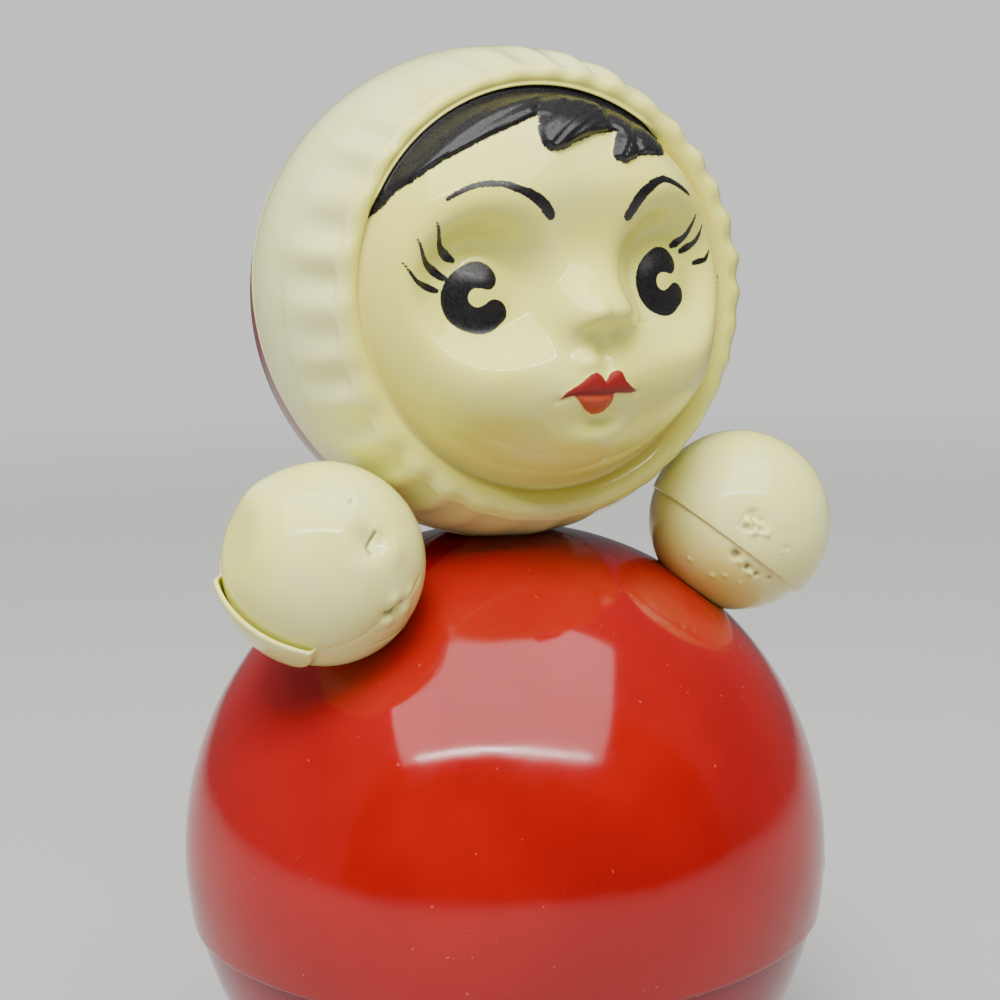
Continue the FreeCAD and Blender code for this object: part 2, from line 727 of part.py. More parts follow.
doll = build_doll()
doc.recompute()
check(doll)
os.makedirs("parts", exist_ok=True)
for piece in doll:
    piece.Shape.exportStep(f"parts/{piece.Label}.step")
    box = piece.Shape.BoundBox
    print(f"{piece.Label:24s} solids {len(piece.Shape.Solids)} volume {piece.Shape.Volume:10.1f} "
          f"x {box.XMin:7.2f} {box.XMax:7.2f} y {box.YMin:7.2f} {box.YMax:7.2f} "
          f"z {box.ZMin:7.2f} {box.ZMax:7.2f}")
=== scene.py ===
"""Looks for the roly-poly doll: glossy celluloid shells, a painted face and the metal chime inside."""

import math

import bmesh
import bpy
import numpy as np
from mathutils import Matrix, Vector


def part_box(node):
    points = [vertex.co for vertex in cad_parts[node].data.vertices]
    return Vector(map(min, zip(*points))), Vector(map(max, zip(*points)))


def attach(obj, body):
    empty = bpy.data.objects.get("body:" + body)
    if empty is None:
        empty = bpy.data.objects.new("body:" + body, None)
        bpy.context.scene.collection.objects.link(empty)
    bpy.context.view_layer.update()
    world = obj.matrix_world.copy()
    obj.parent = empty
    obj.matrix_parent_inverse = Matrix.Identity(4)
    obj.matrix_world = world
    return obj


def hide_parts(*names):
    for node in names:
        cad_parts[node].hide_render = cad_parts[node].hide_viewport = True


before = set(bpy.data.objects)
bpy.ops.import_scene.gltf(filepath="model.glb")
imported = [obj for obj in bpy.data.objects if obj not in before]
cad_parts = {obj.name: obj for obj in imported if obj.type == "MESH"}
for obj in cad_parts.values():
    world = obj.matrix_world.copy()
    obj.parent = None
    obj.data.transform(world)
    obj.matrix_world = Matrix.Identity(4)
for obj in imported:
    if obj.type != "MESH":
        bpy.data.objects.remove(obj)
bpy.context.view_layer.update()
MM = 0.001

# ---------------- sizes in mm, most from the frame

WALL = 0.9
low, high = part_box("body_upper_shell")
BODY_RADIUS = (high.x - low.x) / 2 / MM
BODY_SEAM_Z = low.z / MM
BODY_LAP = 5.0
LOWER_RADIUS = BODY_RADIUS - WALL
BODY_CENTRE = np.array([0.0, 0.0, 56.96])
low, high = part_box("head_front_shell")
HOOD_RADIUS = (high.x - low.x) / 2 / MM
HEAD_CENTRE = np.array([0.0, 0.9, high.z / MM - HOOD_RADIUS])
HEAD_SEAM = 5.9
HEAD_LAP = 4.0
HEAD_TILT = math.radians(17.0)
HAND_RADIUS = 16.48
HAND_WALL = 0.8
HAND_CENTRES = {"left": np.array([40.0, -16.3, 114.4]), "right": np.array([-40.0, -16.3, 114.4])}
HAND_SEAM_DROP = 3.9
HAND_LAP = 2.0
SEAM_ANGLES = {"left": (-18.0, 52.0), "right": (-86.0, 55.0)}


# ---------------- camera, floor and light

VIEW_DISTANCE = 0.3364
VIEW_AZIMUTH, VIEW_RISE = -26.5, 18.99
AIM_UP = math.radians(10.58)
AIM_SIDE = math.radians(0.022)
VIEW_ROLL = math.radians(-0.953)
LENS_MM = 64.77
SENSOR_MM = 36.0
BACKDROP = (0.84, 0.84, 0.83)
ROOM_TINT = (0.92, 0.96, 1.0)
ROOM_FRONT = (-0.25, -0.96, -0.05)
ROOM_PALE, ROOM_DARK = 0.2, 0.05
LAMP_AIM = Vector((0, 0, 0.1))
FLOOR_HALF = 3.0
FLOOR_GREY = (0.43, 0.43, 0.425)
FLOOR_FADE_START, FLOOR_FADE_END = 0.35, 1.6


def add_object(name, data):
    thing = bpy.data.objects.new(name, data)
    bpy.context.scene.collection.objects.link(thing)
    return thing


def level_axes(forward):
    """The directions rightward and upward for a level look along a direction."""
    right = forward.cross(Vector((0, 0, 1))).normalized()
    return right, right.cross(forward)


def placed(place, across, upward, back):
    """The matrix of a camera or lamp, from its place and its own axes."""
    return Matrix.Translation(place) @ Matrix((across, upward, back)).transposed().to_4x4()


def add_camera():
    """Camera before the doll's right shoulder, aimed over the body at the hands."""
    out = direction_to(VIEW_AZIMUTH, VIEW_RISE)
    right, up = level_axes(-out)
    aim = (math.tan(AIM_SIDE) * right - out + math.tan(AIM_UP) * up).normalized()
    level, upright = level_axes(aim)
    across = math.cos(VIEW_ROLL) * level + math.sin(VIEW_ROLL) * upright
    upward = -math.sin(VIEW_ROLL) * level + math.cos(VIEW_ROLL) * upright
    data = bpy.data.cameras.new("camera")
    data.lens = LENS_MM
    data.sensor_width = SENSOR_MM
    data.clip_start = 0.01
    data.clip_end = 50.0
    camera = add_object("camera", data)
    camera.matrix_world = placed(Vector(BODY_CENTRE * MM) + out * VIEW_DISTANCE, across, upward, -aim)
    bpy.context.scene.camera = camera


def direction_to(azimuth, rise):
    """A direction from the doll; azimuth 0 is in front, positive towards the doll's left."""
    a, e = math.radians(azimuth), math.radians(rise)
    return Vector((math.sin(a) * math.cos(e), -math.cos(a) * math.cos(e), math.sin(e)))


def add_light(kind, name, azimuth, rise, distance, power, tint):
    """A lamp facing the doll with its own x axis level."""
    data = bpy.data.lights.new(name, kind)
    data.energy = power
    data.color = tint
    light = add_object(name, data)
    out = direction_to(azimuth, rise)
    light.matrix_world = placed(LAMP_AIM + out * distance, *level_axes(-out), out)
    return light


def add_panel(name, azimuth, rise, distance, width, height, power, tint):
    light = add_light("AREA", name, azimuth, rise, distance, power, tint)
    light.data.shape = "RECTANGLE"
    light.data.size = width
    light.data.size_y = height
    return light


def add_lights():
    """A window overhead, a bright slit lower down, and a key and a fill that don't reflect."""
    add_panel("top_panel", -27, 69, 0.9, 1.25, 0.88, 14.5, (1.0, 1.0, 0.97))
    add_panel("bright_strip", -26, 45, 0.9, 0.95, 0.018, 2.4, (1.0, 1.0, 0.98))
    key = add_light("SUN", "soft_key", -34, 60, 2.0, 3.6, (1.0, 0.99, 0.96))
    key.data.angle = math.radians(24)
    key.visible_glossy = False
    fill = add_panel("side_fill", -110, 20, 1.0, 0.6, 0.9, 1.8, (1.0, 0.99, 0.98))
    fill.visible_glossy = False


def add_world():
    """The camera sees the plain backdrop; everything else is lit by, and reflects, the room."""
    world = bpy.data.worlds.new("studio")
    bpy.context.scene.world = world
    world.use_nodes = True
    nodes = Nodes(world.node_tree)
    nodes.tree.nodes.clear()
    seen = nodes.add("ShaderNodeBackground", Color=(*BACKDROP, 1))
    path = nodes.add("ShaderNodeLightPath")
    mix = nodes.add("ShaderNodeMixShader", Fac=path.outputs["Is Camera Ray"])
    nodes.feed(mix.inputs[1], room_light(nodes))
    nodes.feed(mix.inputs[2], seen.outputs[0])
    nodes.add("ShaderNodeOutputWorld", Surface=mix.outputs[0])


def room_light(nodes):
    """A dim room: dark in front of the doll, paler at its sides, behind it and overhead."""
    facing = nodes.add("ShaderNodeVectorMath")
    facing.operation = "DOT_PRODUCT"
    nodes.feed(facing.inputs[0], nodes.add("ShaderNodeTexCoord").outputs["Generated"])
    nodes.feed(facing.inputs[1], unit(ROOM_FRONT))
    strength = nodes.ramp(facing.outputs["Value"], 0.3, 0.42, ROOM_PALE, ROOM_DARK)
    glow = nodes.add("ShaderNodeBackground", Color=(*ROOM_TINT, 1), Strength=strength)
    return glow.outputs[0]


def add_floor():
    """A pale floor that fades into the backdrop before its horizon."""
    mesh = bpy.data.meshes.new("floor")
    corners = [(x * FLOOR_HALF, y * FLOOR_HALF, 0) for x, y in ((-1, -1), (1, -1), (1, 1), (-1, 1))]
    mesh.from_pydata(corners, [], [(0, 1, 2, 3)])
    floor = add_object("floor", mesh)
    paint = Paint("floor_paper")
    away = paint.add("ShaderNodeVectorMath")
    away.operation = "LENGTH"
    paint.feed(away.inputs[0], paint.place)
    fade = paint.ramp(away.outputs["Value"], FLOOR_FADE_START, FLOOR_FADE_END, 1.0, 0.0)
    paint.set(Base_Color=(*FLOOR_GREY, 1), Roughness=0.7, Specular_IOR_Level=0.1, Alpha=fade)
    mesh.materials.append(paint.material)


# ---------------- materials

CELLULOID_IOR = 1.5
GLOSS, FACE_GLOSS = 0.07, 0.05
UPPER_RED = ((0.27, 0.002, 0.002), (0.33, 0.003, 0.003))
# The lower shell is the same red celluloid as the upper; its shades are painted darker for painted
# shade and bluer for a painted reflection.
SHADED_LOWER_RED = ((0.22, 0.002, 0.012), (0.28, 0.003, 0.016))
# The hood back is the body's red celluloid; these shades are painted darker for painted shade and
# bluer for a painted reflection at its edge.
SHADED_HOOD_RED = ((0.24, 0.003, 0.012), (0.29, 0.005, 0.016))
RED_DUST = (0.55, 0.16, 0.12)
CREAM = (0.8, 0.775, 0.16)
PALE_CREAM = (0.86, 0.88, 0.44)
DEEP_CREAM = (0.78, 0.7, 0.2)
HAND_TONE = 0.05
CREAM_DIRT = (0.36, 0.3, 0.16)
SOOT = (0.3, 0.22, 0.1)
UPPER_LIP_RED = (0.24, 0.005, 0.002)
LOWER_LIP_RED = (0.46, 0.055, 0.01)
INK, WORN_INK = (0.006, 0.005, 0.006), (0.016, 0.015, 0.017)
IRON, BROWN_IRON = (0.09, 0.085, 0.08), (0.16, 0.11, 0.08)
RUST = (0.2, 0.08, 0.03)


class Nodes:
    """A node tree under construction."""

    def __init__(self, tree):
        self.tree = tree

    def add(self, kind, **inputs):
        node = self.tree.nodes.new(kind)
        self.feed_all(node, inputs)
        return node

    def feed_all(self, node, inputs):
        for key, value in inputs.items():
            self.feed(node.inputs[key.replace("_", " ")], value)

    def feed(self, socket, value):
        if isinstance(value, bpy.types.NodeSocket):
            self.tree.links.new(value, socket)
        else:
            socket.default_value = value

    def ramp(self, value, start, end, to_low=0.0, to_high=1.0):
        """A smooth step of a value between start and end."""
        node = self.add("ShaderNodeMapRange", Value=value, From_Min=start, From_Max=end,
                        To_Min=to_low, To_Max=to_high)
        node.interpolation_type = "SMOOTHSTEP"
        return node.outputs["Result"]


class Paint(Nodes):
    """A material under construction, with short ways to add what most surfaces share."""

    def __init__(self, name):
        self.material = bpy.data.materials.new(name)
        self.material.use_nodes = True
        super().__init__(self.material.node_tree)
        self.shader = self.tree.nodes["Principled BSDF"]
        self.place = self.add("ShaderNodeTexCoord").outputs["Object"]

    def set(self, **inputs):
        self.feed_all(self.shader, inputs)

    def noise(self, size_mm, detail=3.0, stretch=(1, 1, 1)):
        """Noise from 0 to 1 whose features are about size_mm across."""
        scale = [1000.0 / size_mm * part for part in stretch]
        mapping = self.add("ShaderNodeMapping", Vector=self.place, Scale=scale)
        node = self.add("ShaderNodeTexNoise", Vector=mapping.outputs[0], Scale=1.0, Detail=detail)
        return node.outputs["Fac"]

    def maths(self, operation, *values):
        node = self.add("ShaderNodeMath")
        node.operation = operation
        for socket, value in zip(node.inputs, values):
            self.feed(socket, value)
        return node.outputs[0]

    def blend(self, factor, first, second):
        """Mix two colours."""
        node = self.add("ShaderNodeMix")
        node.data_type = "RGBA"
        for index, value in ((0, factor), (6, first), (7, second)):
            ready = isinstance(value, (bpy.types.NodeSocket, float))
            self.feed(node.inputs[index], value if ready else (*value, 1))
        return node.outputs[2]

    def attribute(self, name):
        node = self.add("ShaderNodeAttribute")
        node.attribute_name = name
        return node.outputs["Fac"]

    def bump(self, height, strength, distance_mm, below=None):
        node = self.add("ShaderNodeBump", Height=height, Strength=strength,
                        Distance=distance_mm * MM)
        if below is not None:
            self.feed(node.inputs["Normal"], below)
        return node.outputs["Normal"]


def celluloid_surface(paint):
    """The gentle waves, dust specks and fine scratches of blown celluloid, as a normal."""
    waves = paint.noise(9.0, 2.0)
    normal = paint.bump(waves, 0.35, 0.05)
    grain = paint.noise(0.9, 4.0)
    normal = paint.bump(grain, 0.16, 0.012, normal)
    scratches = paint.ramp(paint.noise(0.5, 2.0, (1.0, 1.0, 0.06)), 0.66, 0.72)
    return paint.bump(scratches, 0.105, -0.01, normal)


def worn_roughness(paint, best):
    """Roughness from the best gloss to twice that, in patches and fine rubs."""
    patches = paint.noise(14.0, 4.0)
    rubs = paint.noise(1.6, 5.0, (1.0, 1.0, 0.3))
    both = paint.maths("MULTIPLY_ADD", rubs, 0.35, patches)
    return paint.ramp(both, 0.45, 0.95, best, 2 * best)


def red_celluloid(name, deep, bright):
    """Glossy red that drifts between two shades, with paler dust specks."""
    paint = Paint(name)
    cloud = paint.ramp(paint.noise(26.0, 3.0), 0.3, 0.7)
    colour = paint.blend(cloud, deep, bright)
    speck = paint.ramp(paint.noise(1.1, 1.0), 0.76, 0.8, 0.0, 0.35)
    colour = paint.blend(speck, colour, RED_DUST)
    paint.set(Base_Color=colour, Roughness=worn_roughness(paint, GLOSS),
              Normal=celluloid_surface(paint), IOR=CELLULOID_IOR)
    return paint.material


def cream_base(paint, tone):
    """Ivory that drifts from pale to yellow; tone is 0 on the hood and 1 in the groove."""
    drift = paint.maths("ADD", tone, paint.ramp(paint.noise(17.0, 3.0), 0.25, 0.75, -0.1, 0.1))
    colour = paint.blend(paint.ramp(drift, 0.0, 0.5), PALE_CREAM, CREAM)
    colour = paint.blend(paint.ramp(drift, 0.5, 1.0), colour, DEEP_CREAM)
    dirt = paint.ramp(paint.noise(1.4, 3.0), 0.7, 0.8, 0.0, 0.16)
    return paint.blend(dirt, colour, CREAM_DIRT)


def cream_celluloid(name):
    """Ivory with soot where the mesh is marked with grime."""
    paint = Paint(name)
    dents = paint.attribute("grime")
    colour = cream_base(paint, paint.maths("MULTIPLY_ADD", paint.noise(40.0, 1.0), 0.4, HAND_TONE))
    patchy = paint.maths("MULTIPLY_ADD", paint.noise(0.8, 3.0), 0.5, dents)
    soot = paint.ramp(patchy, 0.45, 1.1, 0.0, 0.75)
    colour = paint.blend(soot, colour, SOOT)
    paint.set(Base_Color=colour, Roughness=worn_roughness(paint, GLOSS),
              Normal=celluloid_surface(paint))
    add_translucence(paint)
    return paint.material


def add_translucence(paint):
    """Thin ivory celluloid lets a little light wander under its skin."""
    paint.set(IOR=CELLULOID_IOR, Subsurface_Weight=0.12, Subsurface_Radius=(1.0, 0.75, 0.35),
              Subsurface_Scale=0.0012)


def painted_face():
    """Ivory with brushed and sprayed black for hair, brows, lashes and eyes, and red lips."""
    paint = Paint("painted_face")
    colour = cream_base(paint, paint.attribute("tone"))
    fine = paint.maths("SUBTRACT", paint.noise(0.35, 3.0), 0.5)
    coarse = paint.maths("SUBTRACT", paint.noise(1.1, 2.0), 0.5)
    ragged = paint.attribute("ragged")
    wobble = paint.maths("MULTIPLY", ragged, paint.maths("ADD", fine, coarse))
    black = paint.ramp(paint.maths("ADD", paint.attribute("ink"), wobble), -0.09, 0.09, 1.0, 0.0)
    thin = paint.maths("MULTIPLY", ragged, paint.ramp(paint.noise(0.3, 3.0), 0.62, 0.74, 0.0, 0.02))
    black = paint.maths("MULTIPLY", black, paint.maths("SUBTRACT", 1.0, thin))
    soft = paint.maths("MULTIPLY", fine, 0.25)
    upper = paint.ramp(paint.maths("ADD", paint.attribute("upper_lip"), soft), -0.1, 0.12, 1.0, 0.0)
    lower = paint.ramp(paint.maths("ADD", paint.attribute("lower_lip"), soft), -0.1, 0.14, 1.0, 0.0)
    colour = paint.blend(lower, colour, LOWER_LIP_RED)
    colour = paint.blend(upper, colour, UPPER_LIP_RED)
    ink_colour = paint.blend(paint.noise(2.0, 3.0), INK, WORN_INK)
    colour = paint.blend(black, colour, ink_colour)
    plain = worn_roughness(paint, FACE_GLOSS)
    brushed = paint.ramp(paint.noise(0.45, 4.0), 0.3, 0.7, 0.22, 0.4)
    lips = paint.maths("MAXIMUM", upper, lower)
    film = paint.maths("MAXIMUM", black, lips)
    brushed = paint.maths("MULTIPLY_ADD", lips, 0.25, brushed)
    rough = paint.add("ShaderNodeMix")
    paint.feed(rough.inputs[0], film)
    paint.feed(rough.inputs[2], plain)
    paint.feed(rough.inputs[3], brushed)
    normal = paint.bump(film, 0.5, 0.05, celluloid_surface(paint))
    normal = paint.bump(paint.maths("MULTIPLY", black, paint.noise(0.4, 4.0)), 0.18, 0.05, normal)
    paint.set(Base_Color=colour, Roughness=rough.outputs[0], Normal=normal)
    add_translucence(paint)
    return paint.material


def metal(name, colour, roughness, stretch=(1, 1, 1), rust=0.0):
    """Bare metal with drawn or rolled grain, dull patches and a little rust."""
    paint = Paint(name)
    patch = paint.ramp(paint.noise(6.0, 4.0), 0.3, 0.7)
    dull = tuple(part * 0.72 for part in colour)
    shade = paint.blend(patch, dull, colour)
    if rust:
        spots = paint.ramp(paint.noise(2.2, 5.0), 0.62, 0.74, 0.0, rust)
        shade = paint.blend(spots, shade, RUST)
    grain = paint.noise(0.5, 3.0, stretch)
    paint.set(Base_Color=shade, Metallic=1.0, Normal=paint.bump(grain, 0.3, 0.02),
              Roughness=paint.ramp(grain, 0.2, 0.8, roughness * 0.7, roughness * 1.4))
    return paint.material


def cast_iron():
    paint = Paint("cast_iron")
    sand = paint.noise(0.9, 5.0)
    colour = paint.blend(paint.ramp(paint.noise(5.0, 4.0), 0.4, 0.65), IRON, BROWN_IRON)
    paint.set(Base_Color=colour, Roughness=paint.ramp(sand, 0.2, 0.8, 0.55, 0.8),
              Metallic=1.0, Normal=paint.bump(sand, 0.8, 0.25))
    return paint.material


def matte_celluloid():
    paint = Paint("matte_celluloid")
    colour = paint.blend(paint.noise(7.0, 3.0), (0.58, 0.52, 0.3), (0.7, 0.65, 0.42))
    paint.set(Base_Color=colour, Roughness=paint.ramp(paint.noise(1.0, 4.0), 0.2, 0.8, 0.38, 0.55),
              Normal=paint.bump(paint.noise(0.7, 4.0), 0.4, 0.03))
    return paint.material


# ---------------- mesh helpers

FAR = 1e9
TINY = 1e-12


def unit(vector):
    vector = np.asarray(vector, float)
    return vector / np.linalg.norm(vector)


def lengths(vectors):
    return np.linalg.norm(vectors, axis=-1)


def loft(name, rings, material, attributes):
    """A closed mesh from rings of points in mm; the first and last rings are single points."""
    rows, around = rings.shape[:2]
    points = np.concatenate([rings[:1, 0], rings[1:-1].reshape(-1, 3), rings[-1:, 0]])
    inner = rows - 2
    grid = 1 + np.arange(inner * around).reshape(inner, around)
    ahead = np.roll(grid, -1, axis=1)
    faces = np.stack([grid[:-1], grid[1:], ahead[1:], ahead[:-1]], -1).reshape(-1, 4).tolist()
    last = len(points) - 1
    faces += [(0, int(a), int(b)) for a, b in zip(grid[0], ahead[0])]
    faces += [(last, int(b), int(a)) for a, b in zip(grid[-1], ahead[-1])]
    return finish_mesh(name, points, faces, material, attributes)


def finish_mesh(name, points, faces, material, attributes):
    """The Blender object of a lofted mesh, with a value of each attribute at every point."""
    mesh = bpy.data.meshes.new(name)
    mesh.from_pydata((points * MM).tolist(), [], faces)
    work = bmesh.new()
    work.from_mesh(mesh)
    bmesh.ops.recalc_face_normals(work, faces=work.faces)
    work.to_mesh(mesh)
    work.free()
    mesh.polygons.foreach_set("use_smooth", [True] * len(mesh.polygons))
    for key, values in attributes.items():
        flat = np.concatenate([values[:1, 0], values[1:-1].reshape(-1), values[-1:, 0]])
        layer = mesh.attributes.new(key, "FLOAT", "POINT")
        layer.data.foreach_set("value", flat.astype(np.float32))
    mesh.materials.append(material)
    return add_object(name, mesh)


def dress(piece, node):
    """An outer piece rides on the doll's body and stands for its CAD node."""
    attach(piece, "doll")
    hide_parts(node)


def turned(axis):
    """A rotation matrix, as numpy, that takes +Z to an axis."""
    return np.array(Vector((0, 0, 1)).rotation_difference(Vector(axis)).to_matrix())


def ripple(points, height, wavelength, seed, waves=10):
    """Smooth random waves of about a given height, made of plane waves through space."""
    draw = np.random.default_rng(seed)
    total = np.zeros(points.shape[:-1])
    for _ in range(waves):
        direction = unit(draw.normal(size=3))
        length = wavelength * draw.uniform(0.7, 1.5)
        total += np.sin(points @ direction * (2 * math.pi / length) + draw.uniform(0, 2 * math.pi))
    return height * (total / math.sqrt(waves))


def spline(points, count):
    """Points along a smooth open curve through the given ones."""
    points = np.asarray(points, float)
    padded = np.vstack([2 * points[0] - points[1], points, 2 * points[-1] - points[-2]])
    out = []
    for index in range(len(points) - 1):
        a, b, c, d = padded[index:index + 4]
        for t in np.linspace(0, 1, count, endpoint=False):
            out.append(0.5 * (2 * b + (c - a) * t + (2 * a - 5 * b + 4 * c - d) * t ** 2
                              + (3 * b - a - 3 * c + d) * t ** 3))
    out.append(points[-1])
    return np.array(out)


def segment_distance(points, first, second):
    """Distance from many points to a segment, and how far along it they fall, from 0 to 1."""
    run = second - first
    along = np.clip(((points - first) @ run) / max(run @ run, TINY), 0, 1)
    nearest = first + along[..., None] * run
    return lengths(points - nearest), along


def stroke(points, path, widths=None):
    """Signed distance to a brush stroke along a path with a half width at each point."""
    path = np.asarray(path, float)
    widths = np.zeros(len(path)) if widths is None else np.asarray(widths, float)
    best = np.full(points.shape[:-1], FAR)
    for index in range(len(path) - 1):
        distance, along = segment_distance(points, path[index], path[index + 1])
        width = widths[index] + along * (widths[index + 1] - widths[index])
        best = np.minimum(best, distance - width)
    return best


def region(points, corners):
    """Signed distance to a closed outline in the plane, negative inside."""
    corners = np.asarray(corners, float)
    after = np.roll(corners, -1, axis=0)
    best = np.full(points.shape[:-1], FAR)
    inside = np.zeros(points.shape[:-1], bool)
    for first, second in zip(corners, after):
        distance, _ = segment_distance(points, first, second)
        best = np.minimum(best, distance)
        crosses = (first[1] > points[..., 1]) != (second[1] > points[..., 1])
        rise = second[1] - first[1] if second[1] != first[1] else TINY
        edge = first[0] + (points[..., 1] - first[1]) * (second[0] - first[0]) / rise
        inside ^= crosses & (points[..., 0] < edge)
    return np.where(inside, -best, best)


def smooth_step(value, start, end):
    """0 before start, 1 after end and a smooth rise between them."""
    t = np.clip((value - start) / (end - start), 0, 1)
    return t * t * (3 - 2 * t)


def bell(value, width):
    return np.exp(-(value / width) ** 2)


# ---------------- ball shells
LIP_STEPS = np.linspace(0, math.pi, 7)[1:-1]


def ball_rings(outer, wall, lip_angle, around, rows, inner_rows):
    """Unit directions and radii of a shell's section, from outer pole to lip to inner pole."""
    turn = np.linspace(0, 2 * math.pi, around, endpoint=False)
    shares = [np.linspace(0, 1, rows), np.ones(len(LIP_STEPS)), np.linspace(1, 0, inner_rows)]
    radii = [np.full(rows, outer), outer - wall * (1 - np.cos(LIP_STEPS)) / 2,
             np.full(inner_rows, outer - wall)]
    bulge = [np.zeros(rows), wall * np.sin(LIP_STEPS) / 2 / outer, np.zeros(inner_rows)]
    share, radius, push = (np.concatenate(part)[:, None] for part in (shares, radii, bulge))
    polar = share * lip_angle + push
    direction = np.stack([np.sin(polar) * np.cos(turn), np.sin(polar) * np.sin(turn),
                          np.cos(polar) * np.ones_like(turn)], -1)
    return direction, np.broadcast_to(radius, direction.shape[:2])


def ball_shell(name, centre, axis, outer, wall, lip_angle, material, shape,
               around, rows, inner_rows):
    """A lapped half of a ball; shape gives a radial offset and grime for each point."""
    direction, radius = ball_rings(outer, wall, lip_angle, around, rows, inner_rows)
    direction = direction @ turned(axis).T
    offset, grime = shape(direction, direction * radius[..., None])
    points = centre + direction * (radius + offset)[..., None]
    return loft(name, points, material, {"grime": grime})


BLOWN_WAVES = ((0.08, 30.0, 3), (0.014, 10.0, 4))
PUSHED_SPOT, PUSHED_DEPTH, PUSHED_SPREAD = (0.83, -0.53, -0.13), 1.15, 0.13
CHIPPED_EDGE = ((0.75, -0.665, 0.000), (0.77, -0.628, -0.098), (0.748, -0.64, -0.18))
CHIP_RIDGE, CHIP_WIDTH = 0.15, 0.01
LOWER_SINK = 0.05


def body_shape(direction, points):
    """The blown body: long shallow waves, and the lip pushed in at the seam on its left."""
    offset = sum(ripple(points, *waves) for waves in BLOWN_WAVES)
    pushed = lengths(direction - unit(PUSHED_SPOT))
    line = stroke(direction, [unit(spot) for spot in CHIPPED_EDGE])
    offset = (offset - PUSHED_DEPTH * np.exp(-(pushed / PUSHED_SPREAD) ** 4)
              + CHIP_RIDGE * bell(line, CHIP_WIDTH))
    return offset, np.zeros(offset.shape)


def foot_shape(direction, points):
    """The lower shell: shallow waves a little inside its ball, and flat where it stands."""
    offset = ripple(points, *BLOWN_WAVES[0])
    flat = BODY_CENTRE[2] / np.maximum(-direction[..., 2], 1e-3)
    radius = lengths(points)
    return np.minimum(offset * 0.5 - LOWER_SINK, flat - radius), np.zeros(offset.shape)


def build_body():
    """The upper shell, and the lower one lapped inside it."""
    drop = BODY_CENTRE[2] - BODY_SEAM_Z
    # The lower half's red carries painted shade and a painted bluish reflection on top of the
    # celluloid's own colour.
    halves = (("upper", 1, BODY_RADIUS, -drop, UPPER_RED, body_shape, 150),
              ("lower", -1, LOWER_RADIUS, drop - BODY_LAP, SHADED_LOWER_RED, foot_shape, 120))
    for part, side, radius, low_edge, shades, shape, rows in halves:
        red = red_celluloid(f"red_{part}_celluloid", *shades)
        piece = ball_shell(f"body_{part}", BODY_CENTRE, (0, 0, side), radius, WALL,
                           math.acos(low_edge / radius), red, shape,
                           around=288, rows=rows, inner_rows=30)
        dress(piece, f"body_{part}_shell")


FLUSH_RISE = 0.62
BACK_WAVES = (0.04, 28.0, 9)
BACK_SINK = 0.03
SEAT_CLEARANCE = 0.02


def seam_normal():
    """The direction that the hood's seam faces, backwards and a little down."""
    return np.array([0.0, math.cos(HEAD_TILT), -math.sin(HEAD_TILT)])


def build_head_back():
    """The red back of the hood, lapped under the front and nearly flush with it at the seam."""
    # Its red carries painted shade and a painted bluish reflection on top of the celluloid's own
    # colour.
    red = red_celluloid("red_hood_shaded_celluloid", *SHADED_HOOD_RED)
    outer = HOOD_RADIUS - WALL
    lip = math.acos((HEAD_SEAM - HEAD_LAP) / outer)
    seam = math.acos(HEAD_SEAM / outer)

    def shape(direction, points):
        polar = np.arccos(np.clip(direction @ seam_normal(), -1, 1))
        outside = lengths(points) > outer - WALL / 2
        flush = FLUSH_RISE * outside * smooth_step((seam - polar) * outer, 0.15, 0.75)
        offset = ripple(points, *BACK_WAVES) - BACK_SINK + flush
        world = points + HEAD_CENTRE
        return offset + clear_of_body(world, direction), np.zeros(offset.shape)

    piece = ball_shell("head_back", HEAD_CENTRE, seam_normal(), outer, WALL, lip, red, shape,
                       around=240, rows=96, inner_rows=24)
    dress(piece, "head_back_shell")


def clear_of_body(world, direction):
    """How far to pull points along a direction so that the head or a hand sits on the body."""
    away = world - BODY_CENTRE
    inside = BODY_RADIUS + SEAT_CLEARANCE - lengths(away)
    facing = np.minimum(np.sum(away * direction, axis=-1) / lengths(away), -0.5)
    return np.where(inside > 0, inside / facing, 0.0)


# ---------------- hands


def hand_axis(side):
    """The pole of a hand's outer shell."""
    azimuth, rise = (math.radians(angle) for angle in SEAM_ANGLES[side])
    return np.array([math.cos(rise) * math.cos(azimuth), math.cos(rise) * math.sin(azimuth),
                     math.sin(rise)])


def bumps_at(direction, spots):
    """Rounded dents (negative depth) and swellings at directions from a ball's centre."""
    offset = np.zeros(direction.shape[:-1])
    for spot, spread, depth in spots:
        angle = lengths(direction - unit(spot))
        offset += depth * bell(angle, spread)
    return offset


def creases_at(direction, creases):
    """Narrow furrows along paths of directions, with the soot that gathers in them."""
    offset = np.zeros(direction.shape[:-1])
    soot = np.zeros(direction.shape[:-1])
    for path, spread, depth, dirt in creases:
        line = spline([unit(spot) for spot in path], 5)
        line = line / np.linalg.norm(line, axis=1)[:, None]
        near = bell(stroke(direction, line), spread)
        offset += depth * near
        soot = np.maximum(soot, dirt * near)
    return offset, soot


def flatten(direction, radius, spot, share, softness):
    """Offset that presses a ball flat towards a direction, blending softly at the edge."""
    facing = np.maximum(direction @ unit(spot), 1e-3)
    plane = radius * share / facing
    gap = (plane - radius) / softness
    return -softness * np.log1p(np.exp(np.clip(-gap, -30, 30)))


